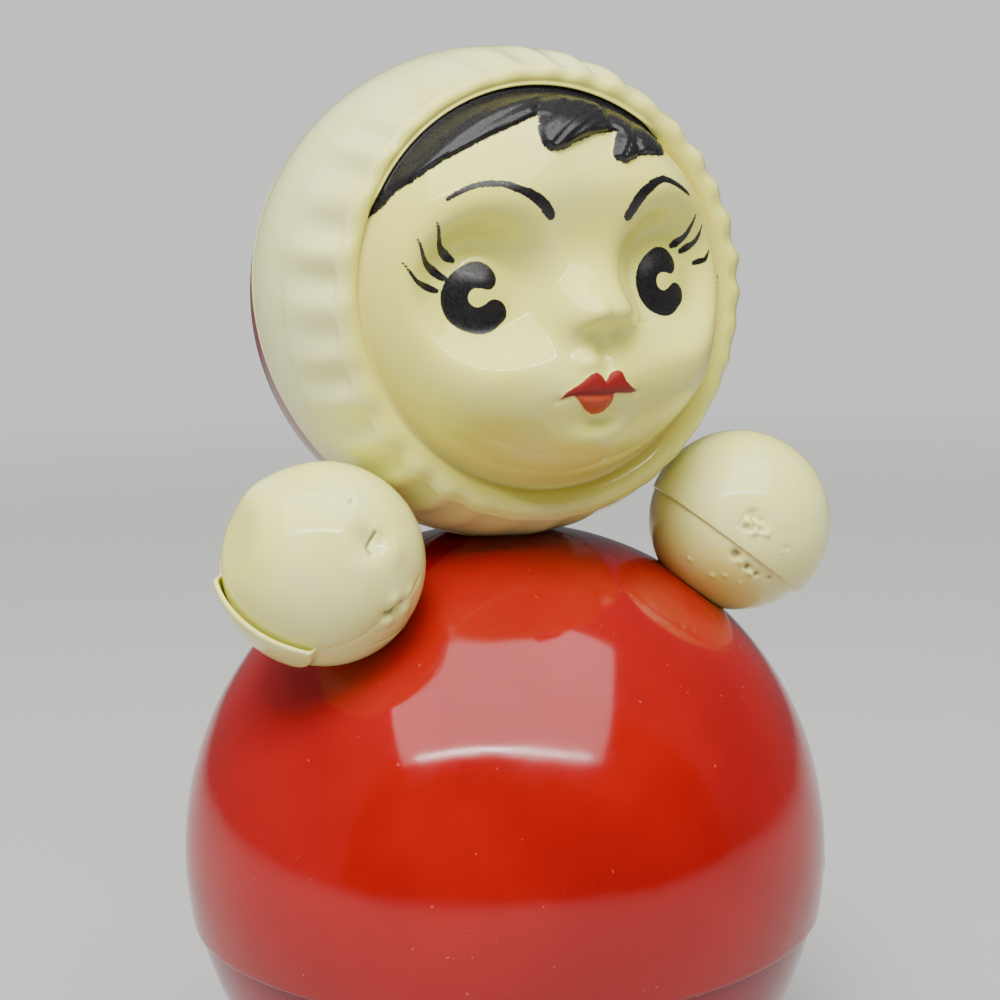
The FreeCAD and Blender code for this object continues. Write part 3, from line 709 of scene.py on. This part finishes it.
RIGHT_DENTS = (
    ((0.14, -0.93, 0.33), 0.17, -1.25), ((0.36, -0.9, 0.22), 0.15, 0.55),
    ((0.06, -0.98, 0.12), 0.12, 0.22), ((0.22, -0.87, 0.44), 0.07, 0.35),
    ((0.02, -0.7, 0.71), 0.05, -0.25), ((0.09, -0.66, 0.75), 0.06, 0.15),
    ((0.42, -0.85, -0.35), 0.06, -0.85), ((0.27, -0.88, -0.39), 0.05, -0.4),
    ((0.36, -0.9, -0.25), 0.08, 0.45), ((0.55, -0.8, -0.22), 0.08, 0.35),
    ((0.33, -0.82, -0.47), 0.07, 0.4), ((0.52, -0.75, -0.38), 0.08, 0.35),
    ((-0.66, 0.1, 0.74), 0.22, 0.6),
)
RIGHT_CREASES = (
    (((0.21, -0.88, 0.42), (0.15, -0.93, 0.34), (0.11, -0.95, 0.29), (0.13, -0.97, 0.22)),
     0.02, -0.6, 1.0),
    (((0.3, -0.87, -0.38), (0.38, -0.85, -0.36), (0.47, -0.83, -0.29)), 0.028, -0.35, 1.0),
    (((-0.28, -0.66, -0.7), (0.02, -0.8, -0.6), (0.16, -0.85, -0.5), (0.3, -0.87, -0.38),
      (0.52, -0.81, -0.26), (0.7, -0.7, -0.1)), 0.03, -0.2, 0.35),
    (((0.00, -0.72, 0.69), (0.04, -0.7, 0.71)), 0.014, -0.15, 0.9),
)
LEFT_DENTS = (
    ((-0.4, -0.9, 0.14), 0.15, -0.55), ((-0.46, -0.87, 0.15), 0.045, 0.75),
    ((-0.37, -0.92, 0.12), 0.038, 0.62), ((-0.42, -0.89, 0.21), 0.04, -0.5),
    ((-0.33, -0.93, 0.15), 0.035, -0.45), ((-0.4, -0.91, 0.05), 0.032, 0.55),
    ((-0.33, -0.94, 0.05), 0.028, -0.4), ((-0.27, -0.96, 0.03), 0.032, 0.4),
    ((-0.5, -0.86, 0.08), 0.035, -0.42), ((-0.05, -0.98, -0.15), 0.03, -0.25),
    ((-0.1, -0.97, -0.2), 0.022, 0.15),
)
LEFT_CREASES = (
    (((-0.56, -0.82, 0.1), (-0.52, -0.84, 0.17), (-0.44, -0.87, 0.25), (-0.35, -0.9, 0.26)),
     0.018, -0.25, 0.45),
    (((-0.45, -0.89, 0.01), (-0.36, -0.93, 0.02), (-0.26, -0.96, -0.01)), 0.016, 0.3, 0.0),
    (((-0.43, -0.88, 0.18), (-0.4, -0.9, 0.12), (-0.43, -0.9, 0.06)), 0.014, -0.35, 0.8),
)
LEFT_FLARE = ((0.4, -0.6, -0.69), 0.3, 0.35)
LEFT_GROOVE = (((-0.56, -0.8, -0.2), (-0.4, -0.83, -0.38), (-0.2, -0.84, -0.5)),
               0.03, -0.2, 0.4)
LEFT_INNER_RISE = 0.35
RIGHT_FLAT = ((-0.95, -0.07, 0.31), 0.925, 0.25)
RIGHT_LIP = (-0.82, -0.22, -0.52)
RIGHT_LIP_RISE, RIGHT_LIP_FLARE, RIGHT_LIP_WIDTH = 0.1, 0.55, 2.6
RIGHT_FLUSH_GAP = 0.12
RIGHT_FOLD = (((0.8, -0.55, -0.05), (0.6, -0.7, -0.3), (0.3, -0.8, -0.52)), 0.05, -0.25, 0.3)
LEFT_PITS = (
    ((-0.57, -0.79, -0.21), 0.05, -0.6), ((-0.5, -0.81, -0.29), 0.04, 0.45),
    ((-0.44, -0.82, -0.36), 0.035, -0.55), ((-0.38, -0.82, -0.43), 0.035, 0.45),
    ((-0.33, -0.83, -0.45), 0.03, -0.5), ((-0.26, -0.84, -0.48), 0.032, 0.35),
    ((-0.16, -0.85, -0.5), 0.03, -0.35), ((-0.69, -0.54, -0.47), 0.03, 0.25),
    ((-0.88, -0.37, -0.3), 0.028, 0.22), ((-0.6, -0.65, -0.46), 0.025, 0.2),
    ((-0.45, -0.7, -0.55), 0.025, 0.18),
)


def hand_surface(direction, points, waves, bumps, creases):
    """The offset of a hand's waves, dents and creases, and the soot in the creases."""
    furrows, soot = creases_at(direction, creases)
    return ripple(points, *waves) + bumps_at(direction, bumps) + furrows, soot


def left_outer_shape(direction, points):
    offset, soot = hand_surface(direction, points, (0.05, 15.0, 21), LEFT_DENTS, LEFT_CREASES)
    return offset + bumps_at(direction, (LEFT_FLARE,)), soot


def left_inner_shape(direction, points):
    """The row of pits along the seam holds dirt; the small swellings after it don't."""
    dirt = np.maximum(-bumps_at(direction, LEFT_PITS[:7]), 0)
    offset, soot = hand_surface(direction, points, (0.06, 14.0, 22), LEFT_PITS, (LEFT_GROOVE,))
    return offset + LEFT_INNER_RISE, np.maximum(soot, np.minimum(dirt * 2.2, 1.0))


def right_outer_shape(direction, points):
    offset, soot = hand_surface(direction, points, (0.06, 15.0, 23), RIGHT_DENTS, RIGHT_CREASES)
    return offset + flatten(direction, HAND_RADIUS, *RIGHT_FLAT), soot


def right_inner_shape(direction, points):
    """The raised lip stands proud only on the outer side; elsewhere the seam is rubbed flush."""
    lip_side = lengths(direction - unit(RIGHT_LIP))
    raised = 1 - smooth_step(lip_side, 0.6, 0.68)
    edge = direction @ -hand_axis("right") * (HAND_RADIUS + HAND_WALL) - HAND_SEAM_DROP
    flare = RIGHT_LIP_FLARE * bell(edge, RIGHT_LIP_WIDTH)
    offset, soot = hand_surface(direction, points, (0.05, 13.0, 24), (), (RIGHT_FOLD,))
    flush = (HAND_WALL - RIGHT_FLUSH_GAP) * (1 - raised)
    return offset - flush + raised * (RIGHT_LIP_RISE + flare), soot


def build_hand(side, *halves):
    """Half shells, each given its lip's height above the ball's centre along its own pole."""
    centre = HAND_CENTRES[side]
    material = cream_celluloid(f"{side}_hand_celluloid")
    for part, pole, radius, low_edge, shape in halves:

        def seated(direction, points, shape=shape):
            offset, grime = shape(direction, points)
            world = centre + points + direction * offset[..., None]
            return offset + clear_of_body(world, direction), grime

        piece = ball_shell(f"{side}_hand_{part}", centre, pole * hand_axis(side), radius, HAND_WALL,
                           math.acos(low_edge / radius), material, seated,
                           around=320, rows=120, inner_rows=40)
        dress(piece, f"{side}_hand_{part}_shell")


def build_hands():
    build_hand("left", ("outer", 1, HAND_RADIUS, -HAND_SEAM_DROP, left_outer_shape),
               ("inner", -1, HAND_RADIUS - HAND_WALL, HAND_SEAM_DROP - HAND_LAP, left_inner_shape))
    build_hand("right", ("outer", 1, HAND_RADIUS, -HAND_SEAM_DROP - HAND_LAP, right_outer_shape),
               ("inner", -1, HAND_RADIUS + HAND_WALL, HAND_SEAM_DROP, right_inner_shape))


# ---------------- face relief and paint

FACE_GAP = 0.75
HAIR_FILL = 0.9
FACE_TOP = 36.4
FACE_EDGE = 20.5
FACE_POWER = 2.3
FACE_FILLET = 0.1
FACE_RISE = 0.6
FACE_ROLL = math.radians(2.6)
OPENING_WAVES = (33.78, -0.43, 0.77, 0.25, -0.54)

HAIRLINE = (
    ((-34.2, 12.8), (-31.8, 13.2), (-30.0, 14.8), (-28.3, 16.8), (-26.5, 18.1)),
    ((-26.5, 18.1), (-22.8, 20.8), (-16.3, 24.2), (-9.4, 27.1), (-5.6, 28.6)),
    ((-5.6, 28.6), (-6.8, 26.4), (-7.1, 24.2), (-5.9, 22.7), (-3.6, 22.9), (-0.7, 24.2), (3.2, 25.4),
     (7.2, 25.9)),
    ((7.2, 25.9), (6.0, 23.8), (5.0, 21.9), (6.9, 20.8), (9.2, 21.5), (10.8, 22.1)),
    ((10.8, 22.1), (13.0, 22.2), (16.6, 22.2), (19.5, 23.6)),
)
HAIR_TOP_RADIUS = 40.0
HAIR_EDGE, RIDGE_HEIGHT, VALLEY_DEPTH, STRAND_HEIGHT = 0.75, 0.95, 0.9, 0.13
LOCK_RIDGE = ((-26.2, 19.3), (-19.8, 25.2), (-13.6, 29.1), (-3.2, 32.1), (5.7, 31.2))
LOCK_STRANDS = (
    (((-26.3, 19.5), (-19.0, 25.2), (-11.0, 29.6), (-2.0, 33.0)), 1.45),
    (((-6.4, 24.0), (-2.5, 27.2), (3.0, 30.0), (9.0, 31.5)), 1.3),
    (((5.9, 22.0), (9.0, 25.6), (13.0, 28.5), (16.0, 30.0)), 1.2),
)
LOCK_VALLEYS = (
    ((-5.6, 29.4), (-4.0, 31.0), (-0.5, 32.6)),
    ((6.6, 26.7), (7.4, 29.0), (9.5, 30.8)),
    ((10.2, 22.9), (11.0, 25.5), (13.5, 28.0)),
)
LOCKS = (((-1.0, 27.3), (6.0, 2.4), 14.0, 1.3), ((8.4, 24.6), (2.6, 2.0), 35.0, 1.0),
         ((14.6, 25.6), (3.2, 2.0), 20.0, 0.9))
BROWS = (
    ((-23.0, 15.4, 0.3), (-19.3, 17.3, 0.45), (-15.3, 17.6, 0.52), (-12.1, 16.6, 0.7),
     (-9.0, 14.9, 0.95), (-7.2, 12.9, 0.95)),
    ((7.3, 12.6, 0.95), (9.1, 15.3, 0.95), (11.5, 17.2, 0.8), (14.5, 18.3, 0.6),
     (18.1, 17.4, 0.45), (21.3, 15.9, 0.3)),
)
LASHES = (
    ((-29.3, 5.9, 0.15), (-27.3, 3.1, 0.35), (-25.1, 1.9, 0.62), (-23.5, 1.3, 0.4)),
    ((-27.2, 9.4, 0.16), (-25.8, 6.1, 0.45), (-23.9, 4.4, 0.72), (-22.3, 3.3, 0.55)),
    ((-24.5, 11.8, 0.2), (-23.3, 8.4, 0.48), (-21.8, 6.8, 0.8), (-20.7, 6.0, 0.5)),
    ((23.7, 12.8, 0.15), (22.8, 9.4, 0.45), (21.2, 8.1, 0.68), (19.8, 7.5, 0.4)),
    ((25.5, 10.9, 0.15), (24.7, 8.4, 0.42), (23.2, 7.2, 0.62), (21.9, 6.6, 0.4)),
    ((27.4, 6.7, 0.15), (26.7, 5.3, 0.38), (25.6, 4.9, 0.52), (24.6, 4.6, 0.35)),
)
HAIR_RAG, BROW_RAG, LASH_RAG, EYE_RAG, RESIDUE_RAG = 0.55, 0.42, 0.2, 0.12, 0.45
EYE_CENTRES = ((-17.7, 0.1), (16.4, 1.8))
EYE_CURL = ((1.4, 3.05, 2.0), (0.4, 3.2, 2.45), (-2.0, 2.1, 2.2), (-3.1, -0.1, 2.2),
            (-2.2, -2.3, 2.5), (0.4, -3.4, 2.35), (2.7, -2.35, 2.05))
PUPIL_NOTCH = ((0.1, 0.0, 1.5), (1.9, 0.35, 0.8), (4.6, 0.7, 0.6))
UPPER_LIP = (
    (-7.7, -16.3), (-6.8, -14.8), (-4.5, -13.3), (-3.1, -12.1), (-2.1, -11.8), (-1.2, -12.2),
    (-0.4, -13.3), (0.6, -12.1), (1.9, -11.6), (2.8, -11.9), (3.5, -13.4), (4.6, -14.3),
    (6.3, -15.3), (4.9, -15.5), (2.0, -15.3), (-0.4, -15.5), (-2.7, -15.4), (-5.5, -15.4),
    (-6.7, -15.7),
)
LIP_LINE = ((-7.9, -16.2), (-5.2, -15.3), (-0.7, -15.4), (4.3, -15.4), (6.5, -15.4))
LOWER_LIP = (
    (-5.5, -15.2), (-4.5, -16.4), (-3.2, -17.8), (-1.7, -18.6), (-0.6, -18.7), (0.5, -18.3),
    (1.2, -17.0), (1.6, -15.2),
)


def gauss(x, z, centre, spread, tilt=0.0, power=1.0):
    """A rounded bump of height 1 in the face's plane; a higher power gives it a flatter top."""
    a = math.radians(tilt)
    u = (x - centre[0]) * math.cos(a) + (z - centre[1]) * math.sin(a)
    v = (z - centre[1]) * math.cos(a) - (x - centre[0]) * math.sin(a)
    return np.exp(-0.5 * ((u / spread[0]) ** 2 + (v / spread[1]) ** 2) ** power)


FACE_BUMPS = (
    (-8.8, (16.9, 2.4), (8.2, 8.4), 2.0), (4.1, (17.0, 0.9), (5.5, 5.3), 1.4),
    (1.2, (13.0, 17.5), (9.0, 3.6), 1.0), (2.6, (15.5, -14.0), (9.0, 6.0), 1.3),
    (1.7, (4.0, -3.0), (2.4, 2.1), 1.0), (-0.9, (2.2, -5.4), (1.4, 0.9), 1.0),
)
MIDLINE_BUMPS = (
    (-2.4, (0, 7.6), (6.4, 5.2)), (5.0, (-0.5, -1.9), (3.8, 3.0)), (0.4, (0, 3.6), (2.4, 4.0)),
    (1.0, (-0.5, -13.3), (8.0, 5.5)), (2.8, (-0.5, -13.6), (5.4, 3.4)),
    (-1.7, (-0.5, -19.6), (2.6, 1.2)), (4.2, (-0.5, -23.2), (5.6, 4.4)),
    (-0.6, (-0.4, -9.2), (0.9, 2.0)), (1.2, (-3.3, -9.9), (1.7, 1.2)),
)


def opening(turn):
    """Radius of the hood's opening, which is a little wider towards the doll's upper right."""
    mean, side, up, oval, lean = OPENING_WAVES
    return (mean + side * np.cos(turn) + up * np.sin(turn) + oval * np.cos(2 * turn)
            + lean * np.sin(2 * turn))


def face_share(x, z):
    """How far out a point of the face lies, 0 in the middle and 1 at its edge."""
    edge = opening(np.arctan2(z, x)) - FACE_GAP
    return np.clip(np.hypot(x, z) / edge, 0, 1)


def face_depth(x, z):
    """How far the face stands before the head's centre: a dome eased into the groove, with relief."""
    share = face_share(x, z)
    inset = 1 - share
    eased = 1 - inset ** 3 / (inset ** 2 + FACE_FILLET ** 2)
    depth = FACE_EDGE + (FACE_TOP - FACE_EDGE) * (1 - eased ** FACE_POWER) ** (1 / FACE_POWER)
    fade = 1 - smooth_step(share, 0.9, 1.0)
    relief = np.zeros(np.shape(x))
    across, upward = unrolled(x, z)
    for height, centre, spread, power in FACE_BUMPS:
        relief += height * gauss(np.abs(across), upward, centre, spread, power=power)
    for height, centre, spread in MIDLINE_BUMPS:
        relief += height * gauss(across, upward, centre, spread)
    relief += lip_relief(x, z)
    return depth + relief * fade + hair_relief(x, z, share)


def lip_relief(x, z):
    """Two swollen lips with a furrow between them."""
    plane = np.stack([x, z], -1)
    upper = region(plane, UPPER_LIP)
    lower = region(plane, LOWER_LIP)
    raised = 0.45 * (1 - smooth_step(upper, -0.8, 0.5)) + 0.55 * (1 - smooth_step(lower, -1.2, 0.5))
    line = stroke(plane, LIP_LINE)
    return raised - 0.35 * bell(line, 0.45)


def hair_outline():
    """The hairline closed over the top of the head, beyond the groove."""
    line = np.concatenate([spline(piece, 4) for piece in HAIRLINE])
    start = math.atan2(line[-1][1], line[-1][0])
    end = math.atan2(line[0][1], line[0][0])
    arc = [(HAIR_TOP_RADIUS * math.cos(a), HAIR_TOP_RADIUS * math.sin(a))
           for a in np.linspace(start, end, 12)]
    return np.concatenate([line, arc])


def hair_relief(x, z, share):
    """Moulded locks: a raised edge, a sweeping ridge, and valleys between the locks."""
    plane = np.stack([x, z], -1)
    inside = -region(plane, hair_outline())
    height = HAIR_EDGE * smooth_step(inside, -0.15, 0.9)
    mask = smooth_step(inside, -0.2, 1.2)
    ridge = stroke(plane, spline(LOCK_RIDGE, 6))
    height += mask * RIDGE_HEIGHT * bell(ridge, 1.7)
    for centre, spread, tilt, lift in LOCKS:
        height += mask * lift * gauss(x, z, centre, spread, tilt)
    for valley in LOCK_VALLEYS:
        height -= mask * VALLEY_DEPTH * bell(stroke(plane, spline(valley, 5)), 0.7)
    height += mask * strands(plane)
    edge = smooth_step(share, 0.93, 1.0)
    return height * (1 - edge) + HAIR_FILL * edge * smooth_step(inside, 0.0, 1.5)


def strands(plane):
    """Fine combed lines that follow whichever lock is nearest."""
    best = np.full(plane.shape[:-1], FAR)
    lines = np.zeros(plane.shape[:-1])
    for path, pitch in LOCK_STRANDS:
        away = stroke(plane, spline(path, 6))
        wave = np.cos(away * (2 * math.pi / pitch))
        wave = wave + 0.5 * np.cos(away * (5.3 * math.pi / pitch) + 1.0)
        lines = np.where(away < best, wave, lines)
        best = np.minimum(best, away)
    return STRAND_HEIGHT * lines


def ink_fields(x, z):
    """Signed distances, in mm, of the black paint and the lips, and how ragged the edge is."""
    plane = np.stack([x, z], -1)
    hair = region(plane, hair_outline())
    ink, ragged = hair, np.full(x.shape, HAIR_RAG)

    def lay(distance, rag):
        nonlocal ink, ragged
        ragged = np.where(distance < ink, rag, ragged)
        ink = np.minimum(ink, distance)

    for brow in BROWS:
        lay(brush(plane, brow), BROW_RAG)
    for lash in LASHES:
        lay(brush(plane, lash), LASH_RAG)
    for centre in EYE_CENTRES:
        local = plane - np.array(centre)
        curl = brush(local, EYE_CURL)
        pupil = brush(local, PUPIL_NOTCH)
        lay(np.maximum(curl, -pupil), EYE_RAG)
    lay(groove_residue(x, z), RESIDUE_RAG)
    return {"ink": ink, "ragged": ragged, "upper_lip": region(plane, UPPER_LIP),
            "lower_lip": region(plane, LOWER_LIP)}


def groove_residue(x, z):
    """Black left in the groove beside the doll's left cheek, in a thin uneven line."""
    turn = np.arctan2(z, x)
    line = np.abs(np.hypot(x, z) - opening(turn) + 0.3) - 0.1 - 0.1 * np.sin(21 * turn)
    return np.maximum(line, 30 * (np.abs(turn + 0.25) - 0.33))


def brush(plane, path):
    """A brush stroke whose path gives x, z and half width."""
    dense = spline(path, 5)
    return stroke(plane, dense[:, :2], dense[:, 2])


# ---------------- head front

HEAD_AROUND = 420
FACE_ROWS = 112
RIM_SECTION = ((0.0, 20.5), (0.05, 20.3), (0.1, 20.5), (0.17, 21.0), (0.26, 21.4), (0.4, 21.7),
               (0.56, 21.7), (0.78, 21.3), (1.0, 20.2))
RIM_BACK = ((0.75, 18.9), (0.4, 17.9), (0.05, 17.5), (-0.4, 18.4), (-0.6, 21.6))
RIM_OUTER = 37.9
RIM_LEAN_OUT, RIM_LEAN_FORWARD = 0.24, 0.28
HOOD_ROWS = 44
FOLD_LIFT, FOLD_MIDDLE, FOLD_REACH = 0.85, 2.5, 8.0
FOLD_STEP, HOOD_SINK, GATHER_ROOM = 0.18, 0.2, 0.3
FACE_WALL, FACE_WALL_EDGE = 1.3, 1.2
FACE_TONE, GROOVE_TONE, RIM_TONE = 0.42, 0.45, 0.25
UNPAINTED = 9.0
RUFFLE_COUNT = 34


def ruffle(turn):
    """The gathers of the hood: rounded ribs round the rim, uneven in width."""
    uneven = 0.5 * np.sin(3 * turn + 1.0) + 0.35 * np.sin(7 * turn + 2.0) + 0.2 * np.sin(13 * turn)
    wave = np.cos(RUFFLE_COUNT * turn + 4.0 * np.sin(turn) + uneven)
    return wave * (0.8 + 0.2 * np.sin(5 * turn + 0.5) + 0.15 * np.sin(11 * turn))


def turned_from(turn, degrees):
    """The angle from a direction round the face, between -pi and pi."""
    return np.angle(np.exp(1j * (turn - math.radians(degrees))))


def ruffle_strength(turn):
    """Gathers fade over the top, a little to the doll's right, and underneath."""
    top = bell(turned_from(turn, 115), 0.55)
    under = bell(turned_from(turn, -72), 1.0)
    return 1.0 - 0.72 * top - 0.82 * under


def seam_polar(turn):
    """Polar angle from the face's axis at which the hood meets the seam plane."""
    a, b = math.cos(HEAD_TILT), math.sin(HEAD_TILT) * np.sin(turn)
    length, lead = np.hypot(a, b), np.arctan2(b, a)
    return lead + np.arccos(-(HEAD_SEAM / HOOD_RADIUS) / length)


def unrolled(across, upward):
    """Turn the face's plane back by the small roll of the head, to where the face is even."""
    return (across * math.cos(FACE_ROLL) + upward * math.sin(FACE_ROLL),
            upward * math.cos(FACE_ROLL) - across * math.sin(FACE_ROLL))


def face_rows(turn):
    """Rings of the face from its middle out to the groove, denser where it turns steep."""
    reach = np.linspace(0, 1, FACE_ROWS)
    share = (1 - (1 - reach) ** 1.55) * 0.9995
    radius = share[:, None] * (opening(turn) - FACE_GAP)
    return radius * np.cos(turn), radius * np.sin(turn)


def hood_rows(turn, start_polar):
    """Rings over the hood's ball from the rim back to the seam, with fading gathers."""
    share = np.linspace(0, 1, HOOD_ROWS + 1)[1:, None] ** 1.15
    polar = start_polar + share * (seam_polar(turn)[None, :] - start_polar)
    arc = (polar - start_polar) * HOOD_RADIUS
    swell = bell(arc - FOLD_MIDDLE, FOLD_REACH)
    lift = FOLD_LIFT * ruffle(turn) * ruffle_strength(turn) * swell
    step = FOLD_STEP * (1 - smooth_step(arc, 12.0, 14.0)) * ruffle_strength(turn)
    return polar, HOOD_RADIUS - HOOD_SINK + lift + step


def groove_fill(turn):
    """Hair reaches right up to the rim, so it fills the groove over the top of the face."""
    away, half = np.abs(turned_from(turn, 104)), math.radians(51)
    return HAIR_FILL * (1 - smooth_step(away, half - 0.1, half + 0.02))


def around_axis(radius, depth, turn):
    """Rows turned round the face's axis, as across, upward and depth."""
    return [radius * np.cos(turn), radius * np.sin(turn), depth]


def rim_rows(turn, inner):
    """The groove's outer wall and the rolled rim, which leans with the gathers."""
    rim = spline(RIM_SECTION, 3)
    out, depth = rim[:, :1], rim[:, 1:]
    lean = smooth_step(out, 0.15, 0.7) * ruffle(turn) * ruffle_strength(turn)
    radius = inner + out * (RIM_OUTER - inner) + RIM_LEAN_OUT * lean
    depth = depth + RIM_LEAN_FORWARD * lean + groove_fill(turn) * (1 - smooth_step(out, 0.1, 0.3))
    return around_axis(radius, depth, turn)


def shell_rows(turn, start):
    """Rows round the hood's rounded lip at the seam and back along its inner side."""
    seam = seam_polar(turn)[None, :]
    lip = LIP_STEPS[:, None]
    lip_radius = HOOD_RADIUS - WALL * (1 - np.cos(lip)) / 2
    lip_polar = seam + WALL * np.sin(lip) / 2 / HOOD_RADIUS
    back_polar = start + np.linspace(1, 0, 16)[:, None] * (seam - start)
    polar = np.concatenate([lip_polar, back_polar])
    radius = np.concatenate([lip_radius * np.ones_like(seam),
                             np.full(back_polar.shape, HOOD_RADIUS - WALL - GATHER_ROOM)])
    return around_axis(radius * np.sin(polar), radius * np.cos(polar), turn)


def back_rows(turn, inner):
    """The inner side of the rim and of the face, which ends in the middle."""
    under = np.array(RIM_BACK)
    under_radius = inner + under[:, :1] * (RIM_OUTER - inner)
    rim_part = around_axis(under_radius, under[:, 1:] * np.ones((1, len(turn))), turn)
    share = np.linspace(0.92, 0, 24)[:, None]
    across, upward = share * inner * np.cos(turn), share * inner * np.sin(turn)
    depth = face_depth(across, upward) - FACE_WALL - FACE_WALL_EDGE * share ** 6
    return rim_part, [across, upward, depth]


def place_head(x, z, depth):
    """From the face's plane to the doll's frame, with the head resting on the body."""
    points = np.stack([x, -depth, z + FACE_RISE], -1)
    points[..., 2] -= FACE_RISE * smooth_step(-depth, -30.0, -15.0)
    points = points + HEAD_CENTRE
    direction = points - HEAD_CENTRE
    direction = direction / np.maximum(lengths(direction), 1e-9)[..., None]
    return points + direction * clear_of_body(points, direction)[..., None]


def build_head_front():
    """Face, groove, rim and hood in one moulding, lofted from the face's middle and back to it."""
    turn = np.linspace(0, 2 * math.pi, HEAD_AROUND, endpoint=False)
    across, upward = face_rows(turn)
    inner = opening(turn) - FACE_GAP
    start = math.atan2(RIM_OUTER, RIM_SECTION[-1][1])
    polar, radius = hood_rows(turn, start)
    hood = around_axis(radius * np.sin(polar), radius * np.cos(polar), turn)
    parts = [[across, upward, face_depth(across, upward)], rim_rows(turn, inner), hood,
             shell_rows(turn, start), *back_rows(turn, inner)]
    x, z, depth = (np.concatenate([np.broadcast_to(part[axis], (len(part[2]), len(turn)))
                                   for part in parts]) for axis in range(3))
    fields = paint_fields(x, z, [len(part[2]) for part in parts])
    piece = loft("head_front", place_head(x, z, depth), painted_face(), fields)
    dress(piece, "head_front_shell")


def paint_fields(x, z, counts):
    """Vertex fields that the face's material reads: paint distances and the ivory's tone."""
    face_end = counts[0]
    rim_end = face_end + counts[1]
    hood_end = rim_end + counts[2]
    fields = ink_fields(x, z)
    shown = np.zeros(x.shape, bool)
    shown[:face_end + counts[1] // 3] = True
    for key in ("ink", "upper_lip", "lower_lip"):
        fields[key] = np.where(shown, fields[key], UNPAINTED)
    share = face_share(x, z)
    tone = np.zeros(x.shape)
    tone[:face_end] = FACE_TONE + GROOVE_TONE * smooth_step(share[:face_end], 0.86, 1.0)
    tone[face_end:rim_end] = np.linspace(1.0, RIM_TONE, counts[1])[:, None]
    tone[rim_end:hood_end] = np.linspace(RIM_TONE, 0.0, counts[2])[:, None]
    fields["tone"] = tone
    return fields


# ---------------- metal and hidden pieces


def paint_nodes():
    """Carried-over pieces inside the body keep their shape and get a real finish."""
    steel = metal("rolled_steel", (0.56, 0.55, 0.53), 0.32, (1.0, 0.1, 1.0), 0.5)
    strip = metal("strip_steel", (0.46, 0.46, 0.46), 0.36, (0.1, 1.0, 1.0), 0.6)
    drawn = metal("drawn_steel", (0.62, 0.61, 0.59), 0.22, (1.0, 1.0, 0.05), 0.25)
    zinc = metal("zinc_plate", (0.6, 0.56, 0.44), 0.3, rust=0.2)
    finishes = {
        "ballast_weight": cast_iron(), "ballast_keeper_ring": matte_celluloid(),
        "neck_tube": matte_celluloid(), "base_spacers": steel, "base_screws": zinc,
        "chime_plate": steel, "striker_bridge": strip, "striker_link": drawn, "striker_wire": drawn,
        "bridge_rivets": metal("aluminium", (0.74, 0.74, 0.75), 0.35),
        "striker_ball": metal("brass", (0.62, 0.42, 0.16), 0.24),
    }
    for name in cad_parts:
        if name.startswith("chime_rod"):
            finishes[name] = drawn
    for name, finish in finishes.items():
        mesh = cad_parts[name].data
        mesh.materials.clear()
        mesh.materials.append(finish)


# ---------------- the doll

add_camera()
add_lights()
add_world()
add_floor()
build_body()
build_head_back()
build_head_front()
build_hands()
paint_nodes()
